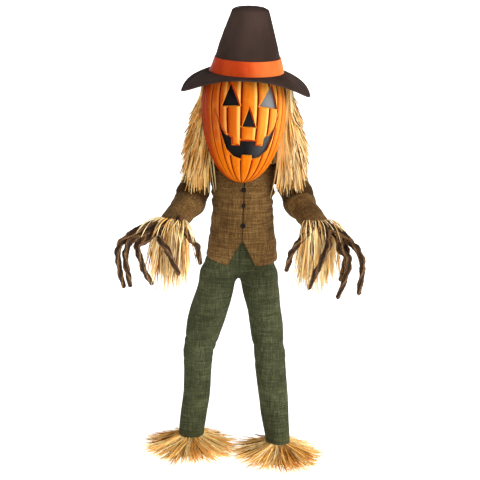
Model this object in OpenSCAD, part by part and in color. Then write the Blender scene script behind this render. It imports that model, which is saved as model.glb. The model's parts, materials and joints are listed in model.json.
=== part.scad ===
// Standing pumpkin-headed scarecrow, in millimetres: +Z up, facing -Y. The origin is on the floor
// under the middle of the figure's box. "left" is the figure's own left, which is +X.

/* [Legs] */
// Half the distance between the ankles
ankle_x = 148; // [142:1:154]
// How far the left foot is forward, and the right foot back, of the hips
stride = 20; // [10:1:26]
// Half the distance between the knees
knee_x = 120; // [116:1:124]
// Height of the knees
knee_z = 368; // [360:1:376]
// Half the distance between the hips
hip_x = 60; // [58:1:62]
// Height of the hips
hip_z = 640; // [638:1:642]
// Height of the trouser hems
hem_z = 62; // [60:1:66]

/* [Tube frame] */
// Outer diameter of the leg and spine tubes
tube_d = 22; // [20:1:22]
// Wall of the leg and spine tubes
tube_wall = 2; // [1.5:0.5:3]
// Outer diameter of the arm tubes and shoulder axles
arm_tube_d = 16; // [14:1:16]
// Diameter of the post that the head turns on
neck_post_d = 18; // [16:1:18]
// Diameter of each foot plate
plate_d = 160; // [150:2:160]
// Thickness of each foot plate
plate_t = 5; // [4:0.5:6]
// Bolt circle of the four anchor holes in a foot plate
anchor_pcd = 120; // [110:2:124]
// Diameter of the anchor holes
anchor_hole_d = 9; // [7:0.5:10]
// Diameter of the clamp screws
screw_d = 6; // [5:0.5:6]

/* [Arms] */
// Height of the shoulder axis
shoulder_z = 985; // [983:1:987]
// Where each arm turns down, out from the middle
shoulder_x = 140; // [138:1:142]
// Radius of the sleeve at the shoulder
sleeve_top_r = 43; // [41:1:44]
// Radius of the sleeve at the elbow
elbow_r = 49; // [47:1:50]
// Radius of the sleeve at the cuff
cuff_r = 46; // [44:1:47]

/* [Hands] */
// Radius of a finger where it leaves the palm
finger_base_r = 9.5; // [8:0.5:9.5]
// Radius of a fingertip
finger_tip_r = 6; // [5:0.5:7]
// Radius of the blobs that the palm is modelled from
palm_r = 17; // [15:1:19]

/* [Head] */
// Half the width of the pumpkin mask
mask_r = 133; // [130:1:134]
// Height of the mask below its widest level
mask_drop = 248; // [244:1:250]
// Height of the egg above the widest level
mask_rise = 170; // [165:1:175]
// Wall of the mask
mask_t = 4; // [3:0.5:4]
// How far the chin tips forward, in degrees
head_tilt = 12; // [11:0.5:13]
// How far the face looks to its own left at rest, in degrees
head_yaw = 8.5; // [0:0.5:10]
// How far the chin leans to its own right, in degrees
head_roll = 1.2; // [0:0.1:2]
// Width of the grooves between the pumpkin's ribs
groove_w = 3; // [2:0.5:4]
// Depth of the grooves
groove_depth = 2; // [1:0.5:2.5]

/* [Hat] */
// Radius of the crown at the brim
crown_base_r = 118; // [117:0.5:120]
// Radius at the top of the crown's wall
crown_top_r = 61; // [58:1:64]
// Height of the crown's wall
crown_h = 190; // [180:1:200]
// Thickness of the felt
felt_t = 3; // [2.5:0.5:3.5]
// Height of the hat band
band_h = 46; // [40:1:50]
// Half the width of the brim
brim_x = 209; // [200:1:215]
// Half the depth of the brim
brim_y = 187; // [180:1:195]
// How far the sides of the brim droop
brim_droop = 69; // [60:1:80]
// How far the hat tips forward, in degrees
hat_tilt = 3.5; // [2:0.5:4]

/* [Clothes] */
// Thickness of the jacket with its lining
jacket_t = 4; // [3:0.5:4]
// Thickness of the trouser cloth
cloth_t = 3; // [2:0.5:3]
// Height of the jacket hem
jacket_hem_z = 684; // [680:1:690]
// Top of the gap in the jacket front, just below the lowest button
placket_z = 770; // [760:1:780]
// Diameter of the buttons
button_d = 15; // [13:1:16]

/* [Straw] */
// Radius of the straw fan around each foot
fan_r = 150; // [140:1:156]
// Height of the lower edge of the fan
fan_lift = 1.5; // [1:0.5:2]
// Length of the straw that hangs below each wrist
wrist_straw_l = 119; // [100:1:125]

/* [Hidden] */
$fn = 64;

// Which side a piece is on, as the sign of its x
left = 1;
right = -1;

// The figure's own upright axis stands this far behind the origin
axis_y = 45;

// Clearances: running fits, cloth over padding, and how far a cutter passes the face it cuts
fit = 0.05;
gap = 0.3;
past = 1;

// Sides of the soft shapes and of the fingers
soft_sides = 36;
finger_sides = 10;

tube_r = tube_d / 2;
arm_r = arm_tube_d / 2;
post_r = neck_post_d / 2;
screw_r = screw_d / 2;
socket_r = tube_r + 4;

// Points of the body, on or about the figure's axis
function hip(s) = [s * hip_x, 0, hip_z];
function knee(s) = [s * knee_x, 0, knee_z];
function ankle(s) = [s * ankle_x, -s * stride, hem_z];
function foot(s) = level(knee(s), ankle(s), 0);
function shoulder(s) = [s * shoulder_x, 0, shoulder_z];
function elbow(s) = s == left ? [182, 5, 896] : [-163, 5, 885];
function wrist(s) = s == left ? [234, -170, 858] : [-211, -170, 846];

// The point on line a-b at height z, and the point d from a towards b
function level(a, b, z) = a + (b - a) * (z - a.z) / (b.z - a.z);
function toward(a, b, d) = a + (b - a) * d / norm(b - a);
function unit(v) = v / norm(v);
function mix(a, b, t) = a * (1 - t) + b * t;

// ---------------------------------------------------------------- shared shapes

// Everything is drawn about the figure's axis and moved back to the origin at the end
module stand() {
    translate([0, axis_y, 0]) children();
}

// A round bar or cone from a to b
module bar(a, b, ra, rb = undef) {
    v = b - a;
    translate(a)
        rotate([0, acos(v.z / norm(v)), atan2(v.y, v.x)])
            cylinder(h = norm(v), r1 = ra, r2 = rb == undef ? ra : rb);
}

// A hole that passes both a and b
module hole(a, b, r) {
    bar(toward(a, b, -past), toward(b, a, -past), r);
}

module tube(a, b, r, wall) {
    difference() {
        bar(a, b, r);
        hole(a, b, r - wall);
    }
}

// A closed skin over a list of rings, each a list of points that run the same way round
module skin(rings) {
    n = len(rings[0]);
    last = len(rings) - 1;
    polyhedron(
        points = [for (ring = rings) each ring],
        faces = concat(
            [[for (j = [0 : n - 1]) j]],
            [[for (j = [n - 1 : -1 : 0]) last * n + j]],
            [for (i = [0 : last - 1], j = [0 : n - 1])
                let (k = (j + 1) % n, low = i * n, high = low + n)
                each [[low + j, high + j, high + k], [low + j, high + k, low + k]]]));
}

// A level oval ring about c, and a ring square to direction d, which is never along Y
function oval(c, rx, ry) =
    [for (j = [0 : soft_sides - 1])
        let (a = 360 * j / soft_sides) c + [rx * cos(a), ry * sin(a), 0]];
function ring_across(c, d, r, sides) =
    let (v = unit(cross(d, [0, 1, 0])), u = cross(v, d))
    [for (j = [0 : sides - 1])
        let (a = 360 * j / sides) c + r * (cos(a) * u + sin(a) * v)];

// Level ovals given as [centre, half width, half depth], drawn smaller by inset
module loft(levels, inset = 0) {
    skin([for (l = levels) oval(l[0], l[1] - inset, l[2] - inset)]);
}

// The same levels with the first and last pushed out by the cutter's margin
function stretched(levels) =
    let (last = len(levels) - 1)
    [for (i = [0 : last])
        let (l = levels[i], dz = i == 0 ? -past : i == last ? past : 0)
        [l[0] + [0, 0, dz], l[1], l[2]]];

module cloth_shell(levels, t) {
    difference() {
        loft(levels);
        loft(stretched(levels), t);
    }
}

// ---------------------------------------------------------------- tube frame

steel = [0.20, 0.20, 0.21];
zinc = [0.70, 0.71, 0.72];

knee_gap = 10.5;
knee_sleeve = 35;
hip_drop = 58;
hip_seat = 20;
socket_h = 70;
tube_rest = 10;

module foot_plate(s) {
    anchor_turn = 45;
    stand() color(steel) translate(foot(s)) difference() {
        cylinder(h = plate_t, r = plate_d / 2);
        for (i = [0 : 3])
            rotate(anchor_turn + 90 * i)
                translate([anchor_pcd / 2, 0, -past])
                    cylinder(h = plate_t + 2 * past, r = anchor_hole_d / 2);
    }
}

module foot_socket(s) {
    a = foot(s);
    b = knee(s);
    block = 4 * socket_r;
    stand() color(steel) difference() {
        bar(a, toward(a, b, socket_h), socket_r);
        hole(toward(a, b, tube_rest), toward(a, b, socket_h), tube_r + fit);
        translate(a + [-block / 2, -block / 2, plate_t - block]) cube(block);
    }
}

module lower_leg_tube(s) {
    a = foot(s);
    b = knee(s);
    stand() color(steel)
        tube(toward(a, b, tube_rest), toward(b, a, knee_gap), tube_r, tube_wall);
}

module upper_leg_tube(s) {
    a = knee(s);
    b = hip(s);
    stand() color(steel)
        tube(toward(a, b, knee_gap), toward(b, a, hip_seat + past), tube_r, tube_wall);
}

// Points where a clamp screw presses on a tube, all from the front
screw_in = 22;
hip_screw_in = 42;
spine_screw_z = 688;
yoke_screw_z = 958;
function screw_points() = concat(
    [for (s = [left, right]) toward(knee(s), hip(s), screw_in)],
    [for (s = [left, right]) toward(knee(s), foot(s), screw_in)],
    [for (s = [left, right]) toward(hip(s), knee(s), hip_screw_in)],
    [[0, 0, spine_screw_z], [0, 0, yoke_screw_z]]);

module facing_front(p) {
    translate(p) rotate([90, 0, 0]) children();
}

module screw_holes() {
    for (p = screw_points())
        facing_front(p) cylinder(h = 2 * socket_r, r = screw_r + fit);
}

module frame_screws() {
    head_t = 4;
    head_r = screw_r * 1.8;
    stand() color(zinc)
        for (p = screw_points())
            facing_front(p) {
                translate([0, 0, tube_r + gap]) cylinder(h = socket_r - tube_r + past, r = screw_r);
                translate([0, 0, socket_r + past]) cylinder(h = head_t, r = head_r, $fn = 6);
            }
}

module knee_coupler(s) {
    k = knee(s);
    ends = [toward(k, foot(s), knee_sleeve), toward(k, hip(s), knee_sleeve)];
    stand() color(steel) difference() {
        union() {
            for (e = ends) bar(k, e, socket_r);
            translate(k) sphere(socket_r + 1);
        }
        for (e = ends) hole(toward(k, e, knee_gap), e, tube_r + fit);
        screw_holes();
    }
}

spine_boss = 60;
spine_seat = 25;
spine_top = shoulder_z - 17;
yoke_low = shoulder_z - 37;
yoke_high = shoulder_z + 35;
yoke_x = 98;
yoke_r = arm_r + 6;
axle_in = 50;
post_seat = shoulder_z + 4;

hip_overhang = 12;

module hip_bracket() {
    top = [0, 0, hip_z + spine_boss];
    stand() color(steel) difference() {
        union() {
            bar(hip(right) - [hip_overhang, 0, 0], hip(left) + [hip_overhang, 0, 0], yoke_r);
            bar([0, 0, hip_z], top, socket_r);
            for (s = [left, right]) bar(hip(s), toward(hip(s), knee(s), hip_drop), socket_r);
        }
        hole([0, 0, hip_z + spine_seat], top, tube_r + fit);
        for (s = [left, right])
            hole(toward(hip(s), knee(s), hip_seat + past), toward(hip(s), knee(s), hip_drop),
                tube_r + fit);
        screw_holes();
    }
}

module spine_tube() {
    stand() color(steel)
        tube([0, 0, hip_z + spine_seat], [0, 0, spine_top], tube_r, tube_wall);
}

module shoulder_yoke() {
    axle_bore = arm_r + fit;
    stand() color(steel) difference() {
        union() {
            bar([-yoke_x, 0, shoulder_z], [yoke_x, 0, shoulder_z], yoke_r);
            bar([0, 0, yoke_low], [0, 0, yoke_high], socket_r);
        }
        for (s = [left, right])
            hole([s * axle_in, 0, shoulder_z], [s * yoke_x, 0, shoulder_z], axle_bore);
        hole([0, 0, yoke_low], [0, 0, spine_top], tube_r + fit);
        hole([0, 0, post_seat], [0, 0, yoke_high], post_r + fit);
        screw_holes();
    }
}

hub_z = 1037;
hub_h = 57;
hub_r = post_r + 7;
hub_roof = 5;
collar_t = 7;

module neck_post() {
    stand() color(zinc) {
        bar([0, 0, post_seat], [0, 0, hub_z + hub_h - hub_roof - past], post_r);
        bar([0, 0, hub_z - collar_t], [0, 0, hub_z], post_r + 5);
    }
}

// ---------------------------------------------------------------- body

foam = [0.82, 0.80, 0.74];
tweed = [0.27, 0.20, 0.12];
linen = [0.20, 0.22, 0.17];
horn = [0.11, 0.10, 0.09];

jacket_levels = [
    [[0, 0, jacket_hem_z], 117, 88],
    [[0, 0, 740], 112, 87],
    [[0, 0, 848], 101, 87],
    [[0, 0, 915], 103, 84],
    [[0, 0, 955], 105, 68],
    [[0, 0, 985], 105, 50],
    [[0, 0, 1003], 100, 37]
];
seat_z = 622;
seat_top_z = 765;
seat_levels = [
    [[0, 0, seat_z], 126, 66],
    [[0, 0, 690], 107, 75],
    [[0, 0, seat_top_z], 98, 70]
];
padding_levels = [
    [[0, 0, seat_z + 4], 118, 58],
    [[0, 0, 690], 100, 68],
    [[0, 0, seat_top_z + 3], 91, 63],
    [[0, 0, 785], 93, 76],
    [[0, 0, 915], 95, 76],
    [[0, 0, 955], 96, 59],
    [[0, 0, shoulder_z], 96, 41],
    [[0, 0, 998], 88, 30]
];
function leg_levels(s) = [
    [ankle(s), 43.5, 43.5],
    [knee(s), 50.5, 50.5],
    [[s * 85, 0, 535], 61, 61],
    [[s * 66, 0, seat_z - 3], 60, 60]
];
function leg_padding_levels(s) = [
    [level(ankle(s), knee(s), hem_z + 5), 39, 39],
    [knee(s), 45, 45],
    [[s * 85, 0, 535], 55, 55],
    [[s * 67, 0, seat_z - 9], 54, 54]
];

module torso_padding() {
    clear = 2;
    stand() color(foam) difference() {
        loft(padding_levels);
        hole([0, 0, hip_z], [0, 0, yoke_high], socket_r + clear);
        hole([-yoke_x, 0, shoulder_z], [yoke_x, 0, shoulder_z], yoke_r + clear);
        bar(hip(right) - [hip_overhang + clear, 0, 0], hip(left) + [hip_overhang + clear, 0, 0],
            yoke_r + clear);
        for (s = [left, right]) bar(hip(s), toward(hip(s), knee(s), hip_drop), socket_r + clear);
        for (z = [spine_screw_z, yoke_screw_z])
            facing_front([0, 0, z]) cylinder(h = 2 * socket_r, r = screw_r * 3);
    }
}

module leg_padding(s) {
    bore_r = socket_r + 7;
    stand() color(foam) difference() {
        loft(leg_padding_levels(s));
        bar(knee(s), hip(s), bore_r);
        bar(knee(s), foot(s), bore_r);
        translate(knee(s)) sphere(bore_r + 1);
    }
}

// The gap in the jacket front is an upside-down V; the neck and armholes are round
module jacket_body() {
    placket_x = 9;
    placket_half = 48;
    neck_r = 30;
    armhole_r = 19;
    top = jacket_levels[len(jacket_levels) - 1];
    stand() color(tweed) {
        difference() {
            loft(jacket_levels);
            loft(stretched(jacket_levels), jacket_t);
            facing_front([0, 0, 0])
                linear_extrude(2 * brim_y)
                    polygon([
                        [placket_x, placket_z],
                        [placket_x - placket_half, jacket_hem_z - past],
                        [placket_x + placket_half, jacket_hem_z - past]
                    ]);
            for (s = [left, right])
                hole([s * (yoke_x - jacket_t * 3), 0, shoulder_z],
                    [s * (yoke_x + jacket_t * 2), 0, shoulder_z], armhole_r);
        }
        difference() {
            skin([oval(top[0], top[1], top[2]),
                oval(top[0] + [0, 0, jacket_t], top[1] - jacket_t, top[2] - jacket_t)]);
            hole(top[0], top[0] + [0, 0, jacket_t], neck_r);
        }
    }
}

module jacket_buttons() {
    thick = 4;
    button_x = 6;
    stand() color(horn)
        for (p = [[938, 79], [887, 86.8], [821, 88]])
            facing_front([button_x, -p[1], p[0]]) cylinder(h = thick, r = button_d / 2);
}

module trouser_seat() {
    stand() color(linen) cloth_shell(seat_levels, cloth_t);
}

module trouser_leg(s) {
    stand() color(linen) cloth_shell(leg_levels(s), cloth_t);
}

// ---------------------------------------------------------------- straw

straw = [0.83, 0.67, 0.38];

// Half section of a straw fan, as [radius, height], from the floor up to the hem
fan_section = [[fan_r, fan_lift], [fan_r - 4, 12], [100, 30], [64, 45], [41, hem_z - 5]];

module ankle_straw(s) {
    clear = 2;
    f = foot(s);
    stand() color(straw) difference() {
        loft([for (p = fan_section)
            [p.y == hem_z - 5 ? level(ankle(s), knee(s), p.y) : f + [0, 0, p.y], p.x, p.x]]);
        bar(f, knee(s), socket_r + clear);
        translate(f) cylinder(h = plate_t + clear, r = plate_d / 2 + clear);
    }
}

module wrist_straw(s) {
    drop = 56;
    w = wrist(s);
    stand() color(straw) loft([
        [w + [s * 16, -22, -drop - wrist_straw_l], 58, 34],
        [w + [s * 8, -18, -drop], 34, 26]
    ]);
}

// Half section of the hair: it leaves the brim and clears the shoulders on its way down
hair_top_z = 1283;
hair_low_z = 948;
hair_section = [
    [141, hair_top_z], [154, hair_top_z], [171, 1205], [179, 1100], [190, 1045], [203, 990],
    [215, hair_low_z], [209, hair_low_z], [192, 990], [183, 1018], [166, 1045], [152, 1100],
    [147, 1205]
];
hair_back_section = [
    [139, hair_top_z], [152, hair_top_z], [164, 1205], [172, 1100], [176, hair_low_z],
    [150, hair_low_z], [146, 1100], [141, 1205]
];
hair_front_a = -15;
hair_side_a = 56;
hair_seam = 1;

module hair_part(section, from, to) {
    stand() color(straw)
        rotate(from) rotate_extrude(angle = to - from) polygon(section);
}

module hair_side(s) {
    mirror([s == left ? 0 : 1, 0, 0]) hair_part(hair_section, hair_front_a, hair_side_a);
}

module hair_back() {
    hair_part(hair_back_section, hair_side_a + hair_seam, 180 - hair_side_a - hair_seam);
}

// ---------------------------------------------------------------- arms

tang_w = 10;
tang_h = 24;
ear_w = 5;
eye_r = 10;
pin_r = 4;
elbow_seat = 24;

// A disc about an elbow's axis, from x0 to x1 out from its middle
module elbow_disc(s, x0, x1, r) {
    translate(elbow(s) + [x0, 0, 0]) rotate([0, 90, 0]) cylinder(h = x1 - x0, r = r);
}

module elbow_bore(s) {
    reach = tang_w + 2 * ear_w;
    elbow_disc(s, -reach, reach, pin_r + fit);
}

module upper_arm_tube(s) {
    flange = [yoke_x + 1.5, yoke_x + 5];
    stand() color(steel) difference() {
        union() {
            bar([s * (axle_in + past), 0, shoulder_z], shoulder(s), arm_r);
            bar([s * flange[0], 0, shoulder_z], [s * flange[1], 0, shoulder_z], arm_r + 4);
            translate(shoulder(s)) sphere(arm_r + 1);
            bar(shoulder(s), toward(elbow(s), shoulder(s), eye_r + 6), arm_r);
            translate(elbow(s) + [0, 0, tang_h / 2])
                cube([tang_w, 2 * arm_r - 1, tang_h], center = true);
            elbow_disc(s, -tang_w / 2, tang_w / 2, eye_r);
        }
        elbow_bore(s);
    }
}

// How far the forearm dips below level
function forearm_dip(s) =
    let (v = wrist(s) - elbow(s)) atan2(-v.z, -v.y);

module forearm_tube(s) {
    e = elbow(s);
    w = wrist(s);
    clear = tang_w / 2 + gap;
    outer = clear + ear_w;
    bridge = [14, 27];
    bridge_step = 0.4;
    reach = 24;
    half_h = eye_r - 1;
    v = toward(e, w, bridge[1]) - e;
    stand() color(steel) difference() {
        union() {
            bar(toward(e, w, elbow_seat), toward(w, e, -reach), arm_r);
            translate(e) rotate([forearm_dip(s), 0, 0]) {
                for (x = [-outer, clear])
                    translate([x, 0, 0]) rotate([90, 0, -90]) mirror([0, 0, 1])
                        linear_extrude(ear_w) {
                            circle(eye_r);
                            translate([0, -half_h]) square([bridge[1], 2 * half_h]);
                        }
                translate([min(0, v.x) - outer + bridge_step, bridge_step - bridge[1],
                    bridge_step - half_h])
                    cube([2 * (outer - bridge_step) + abs(v.x), bridge[1] - bridge[0],
                        2 * (half_h - bridge_step)]);
            }
        }
        elbow_bore(s);
    }
}

module elbow_pin(s) {
    half = tang_w / 2 + gap + ear_w + gap;
    head_t = 3;
    stand() color(zinc) {
        elbow_disc(s, -half, half, pin_r);
        for (x = [-half - head_t, half]) elbow_disc(s, x, x + head_t, pin_r + 3);
    }
}

// The stuffed sleeve bends round the elbow; it starts clear of the jacket's side
module upper_sleeve(s) {
    start_x = 108;
    bore_r = arm_r + 2;
    hollow_r = 36;
    e = elbow(s);
    sh = shoulder(s);
    elbow_end = toward(e, wrist(s), elbow_seat);
    seam = toward(e, wrist(s), elbow_seat + 5);
    block = 200;
    stand() color(tweed) difference() {
        union() {
            translate(sh) sphere(sleeve_top_r + 1.5);
            bar(sh, e, sleeve_top_r, elbow_r - 1);
            translate(e) sphere(elbow_r + 1);
            bar(e, elbow_end, elbow_r - 1, elbow_r - 2);
        }
        translate(sh + [s * (start_x - shoulder_x - block / 2), 0, 0])
            cube([block, block, block], center = true);
        hole([s * yoke_x, 0, shoulder_z], sh, bore_r);
        translate(sh) sphere(bore_r + 1);
        bar(sh, e, bore_r);
        translate(e) sphere(hollow_r);
        bar(seam, toward(e, wrist(s), block / 2), elbow_r);
    }
}

module lower_sleeve(s) {
    cuff_back = 14;
    a = toward(elbow(s), wrist(s), elbow_seat + 8);
    b = toward(wrist(s), elbow(s), cuff_back);
    stand() color(tweed) difference() {
        bar(a, b, elbow_r - 2, cuff_r);
        hole(a, b, arm_r + 2);
    }
}

// ---------------------------------------------------------------- hands

bark = [0.25, 0.17, 0.11];

// Joints of the fingers from the palm to the tip, as [out, back, up] from the wrist
thumb_l = [[-15, -45, -11], [-38, -65, -35], [-57, -75, -55], [-72, -75, -83],
    [-79, -68, -113], [-86, -58, -148]];
index_l = [[39, -55, -23], [42, -88, -50], [27, -98, -86], [9, -88, -134], [-14, -70, -200]];
middle_l = [[70, -55, -23], [79, -85, -62], [104, -98, -85], [106, -98, -116],
    [97, -88, -162], [80, -70, -228]];
ring_l = [[88, -42, -40], [99, -60, -72], [93, -66, -106], [85, -58, -142], [77, -46, -176]];
little_l = [[103, -55, -37], [128, -85, -56], [147, -98, -89], [151, -98, -120],
    [148, -88, -170], [146, -70, -212]];
thumb_r = [[-21, -45, 8], [-38, -65, -15], [-58, -75, -40], [-78, -75, -61],
    [-84, -68, -88], [-89, -58, -124]];
index_r = [[48, -55, -19], [34, -88, -44], [13, -98, -71], [-7, -88, -114], [-24, -70, -158]];
middle_r = [[82, -55, -48], [108, -85, -64], [101, -98, -88], [87, -98, -131],
    [73, -88, -163], [59, -70, -192]];
ring_r = [[105, -56, -42], [135, -86, -55], [143, -98, -86], [139, -100, -131],
    [132, -90, -164], [128, -72, -201]];
little_r = [[127, -52, -34], [160, -85, -54], [167, -98, -82], [165, -98, -114],
    [159, -88, -155], [148, -70, -206]];
function hand(s) = s == left
    ? [thumb_l, index_l, middle_l, ring_l, little_l]
    : [thumb_r, index_r, middle_r, ring_r, little_r];

// A point given from the wrist, in the figure's frame
function from_wrist(s, p) = wrist(s) + [s * p.x, p.y, p.z];

// The joints with a waist between each pair, and the radius at each of them
function with_waists(path) =
    [for (i = [0 : 2 * (len(path) - 1)])
        i % 2 == 0 ? path[i / 2] : (path[(i - 1) / 2] + path[(i + 1) / 2]) / 2];
function finger_r(i, last) =
    mix(finger_base_r, finger_tip_r, i / last) * (i == 0 || i == last ? 0.8 : i % 2 == 0 ? 1 : 0.88);

module finger(s, path) {
    p = with_waists([for (q = path) from_wrist(s, q)]);
    last = len(p) - 1;
    stand() color(bark)
        skin([for (i = [0 : last])
            ring_across(p[i], unit(p[min(i + 1, last)] - p[max(i - 1, 0)]),
                finger_r(i, last), finger_sides)]);
}

module palm(s) {
    inward = 0.8;
    root_r = 23;
    blob_sides = 24;
    bore_depth = 26;
    w = wrist(s);
    e = elbow(s);
    stand() color(bark) difference() {
        hull() {
            translate(toward(w, e, -12)) sphere(root_r, $fn = blob_sides);
            for (path = hand(s))
                translate(from_wrist(s, path[0] * inward)) sphere(palm_r, $fn = blob_sides);
        }
        bar(toward(w, e, 2 * root_r), toward(w, e, -bore_depth), arm_r + fit);
    }
}

// ---------------------------------------------------------------- head

pumpkin = [0.86, 0.41, 0.09];
black_cloth = [0.05, 0.05, 0.05];
egg_z = 1205;
egg_y = -35;
head_x = -10;
egg_step = 11.25;
hat_z = 1311;
head_low_z = 1045;
liner_in = mask_t + 0.4;
liner_t = 2.5;
core_in = liner_in + liner_t + 0.4;

module in_head() {
    translate([head_x, 0, 0]) rotate(head_yaw) translate([0, egg_y, egg_z])
        rotate([-head_tilt, 0, 0]) rotate([0, head_roll, 0]) children();
}

module in_hat() {
    translate([0, 0, hat_z]) rotate([hat_tilt, 0, 0]) children();
}

// Half section of the egg, drawn smaller by inset
module egg_section(inset) {
    polygon([for (a = [-90 : egg_step : 90])
        [(mask_r - inset) * cos(a), ((a < 0 ? mask_drop : mask_rise) - inset) * sin(a)]]);
}

module egg(inset) {
    rotate_extrude() egg_section(inset);
}

// Everything behind the mask's rim, and everything above a level that is parallel to the hat
module behind_rim(y) {
    block = 3 * mask_drop;
    translate([-block / 2, y, -block / 2]) cube(block);
}

module above_brim(z) {
    block = 4 * crown_base_r;
    in_hat() translate([-block / 2, -block / 2, z]) cube(block);
}

// Outlines of the openings on the front of the mask, on its own upright axis
left_eye = [[71, 57], [32, -11], [90, -14]];
right_eye = [[-57, 57], [-82, -12], [-32, -11]];
nose_apex = [-1, -21];
nose_base = [20, -76];
half_mouth = [
    [93, -50], [85, -76], [70, -99], [52, -109], [49, -133], [24, -134], [24, -120]
];
half_jaw = [
    [16, -162], [18, -173], [40, -167], [62, -145], [77, -107]
];
function flip_x(points) = [for (i = [len(points) - 1 : -1 : 0]) [-points[i].x, points[i].y]];

module face_openings() {
    rotate([90, 0, 0]) linear_extrude(2 * mask_r) {
        polygon(left_eye);
        polygon(right_eye);
        polygon([nose_apex, nose_base, [-nose_base.x, nose_base.y]]);
        polygon(concat(half_mouth, flip_x(half_mouth), flip_x(half_jaw), half_jaw));
    }
}

// One groove runs down the egg from pole to pole
module groove() {
    rotate([90, 0, 0]) translate([0, 0, -groove_w / 2]) linear_extrude(groove_w) difference() {
        translate([0, -2 * mask_drop]) square([2 * mask_r, 4 * mask_drop]);
        egg_section(groove_depth);
    }
}

groove_angles = [11.5, 31, 46, 60, 76];

module pumpkin_mask() {
    front = -90;
    stand() color(pumpkin) difference() {
        in_head() difference() {
            egg(0);
            egg(mask_t);
            behind_rim(0);
            face_openings();
            for (a = groove_angles, s = [left, right]) rotate(front + s * a) groove();
        }
        above_brim(-felt_t - 4.5);
    }
}

module mask_liner() {
    stand() color(black_cloth) difference() {
        in_head() difference() {
            egg(liner_in);
            egg(liner_in + liner_t);
            behind_rim(-gap);
        }
        above_brim(-felt_t - 4.5);
    }
}

module below_head() {
    block = 4 * mask_r;
    translate([-block / 2, -block / 2, head_low_z - block]) cube(block);
}

module head_hood() {
    stand() color(black_cloth) difference() {
        in_head() difference() {
            egg(liner_in);
            egg(liner_in + liner_t);
            mirror([0, 1, 0]) behind_rim(-gap);
        }
        below_head();
        above_brim(-felt_t - 4.5);
    }
}

// Foam head: it fills the egg, and its top fits inside the hat
dome_h = 80;
function crown_r(z) = mix(crown_base_r, crown_top_r, z / crown_h);

module head_core() {
    dome_low = -felt_t - 3.5;
    stand() color(foam) difference() {
        union() {
            difference() {
                in_head() egg(core_in);
                above_brim(dome_low);
                difference() {
                    below_head();
                    in_head() mirror([0, 1, 0]) behind_rim(0);
                }
            }
            in_hat() translate([0, 0, dome_low])
                cylinder(h = dome_h - dome_low, r1 = crown_base_r - felt_t - 1.5,
                    r2 = crown_r(dome_h) - felt_t - 0.6);
        }
        bar([0, 0, hub_z], [0, 0, hub_z + hub_h + 1], hub_r + gap);
    }
}

module head_hub() {
    flange_r = 30;
    flange_t = 4;
    low = hub_z + gap;
    stand() color(zinc) difference() {
        union() {
            bar([0, 0, low], [0, 0, hub_z + hub_h], hub_r);
            bar([0, 0, low], [0, 0, low + flange_t], flange_r);
        }
        bar([0, 0, hub_z - past], [0, 0, hub_z + hub_h - hub_roof], post_r + fit);
    }
}

// ---------------------------------------------------------------- hat

felt = [0.13, 0.10, 0.09];
satin = [0.90, 0.33, 0.10];
crown_dome = 12;
brim_in = crown_base_r - felt_t - 1;
brim_steps = 5;
brim_sides = 72;
back_roundness = 2.8;
droop_power = 1.7;

module hat_crown() {
    dome_r = crown_top_r - crown_dome;
    stand() color(felt) in_hat() rotate_extrude() polygon([
        [crown_base_r - felt_t, 0],
        [crown_base_r, 0],
        [crown_top_r, crown_h],
        [crown_top_r - crown_dome / 3, crown_h + crown_dome * 0.7],
        [dome_r, crown_h + crown_dome],
        [0, crown_h + crown_dome],
        [0, crown_h + crown_dome - felt_t],
        [dome_r, crown_h + crown_dome - felt_t],
        [crown_top_r - felt_t, crown_h - felt_t / 2]
    ]);
}

module hat_band() {
    band_t = 1.2;
    low = crown_base_r + gap;
    high = crown_r(band_h) + gap;
    stand() color(satin) in_hat() rotate_extrude() polygon([
        [low, 0], [low + band_t, 0], [high + band_t, band_h], [high, band_h]
    ]);
}

// The brim is level where it meets the crown, droops towards both sides and is squarer behind
function brim_edge(a) =
    let (n = sin(a) > 0 ? back_roundness : 2)
    pow(pow(abs(cos(a)) / brim_x, n) + pow(abs(sin(a)) / brim_y, n), -1 / n);
function side_power(a) = 2.5 - 0.2 * sin(a);
function brim_drop(a, t) = brim_droop * pow(abs(cos(a)), side_power(a)) * pow(t, droop_power);
function brim_point(a, t, z) =
    let (r = mix(brim_in, brim_edge(a), t)) [r * cos(a), r * sin(a), z - gap - brim_drop(a, t)];

module hat_brim() {
    loop = concat(
        [for (k = [0 : brim_steps]) [k / brim_steps, 0]],
        [for (k = [brim_steps : -1 : 0]) [k / brim_steps, -felt_t]]);
    n = len(loop);
    stand() color(felt) in_hat() polyhedron(
        points = [for (j = [0 : brim_sides - 1], l = loop)
            brim_point(360 * j / brim_sides, l[0], l[1])],
        faces = [for (j = [0 : brim_sides - 1], k = [0 : n - 1])
            let (j2 = (j + 1) % brim_sides, k2 = (k + 1) % n)
            each [[j * n + k, j2 * n + k, j2 * n + k2], [j * n + k, j2 * n + k2, j * n + k2]]]);
}

// ---------------------------------------------------------------- nodes

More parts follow.
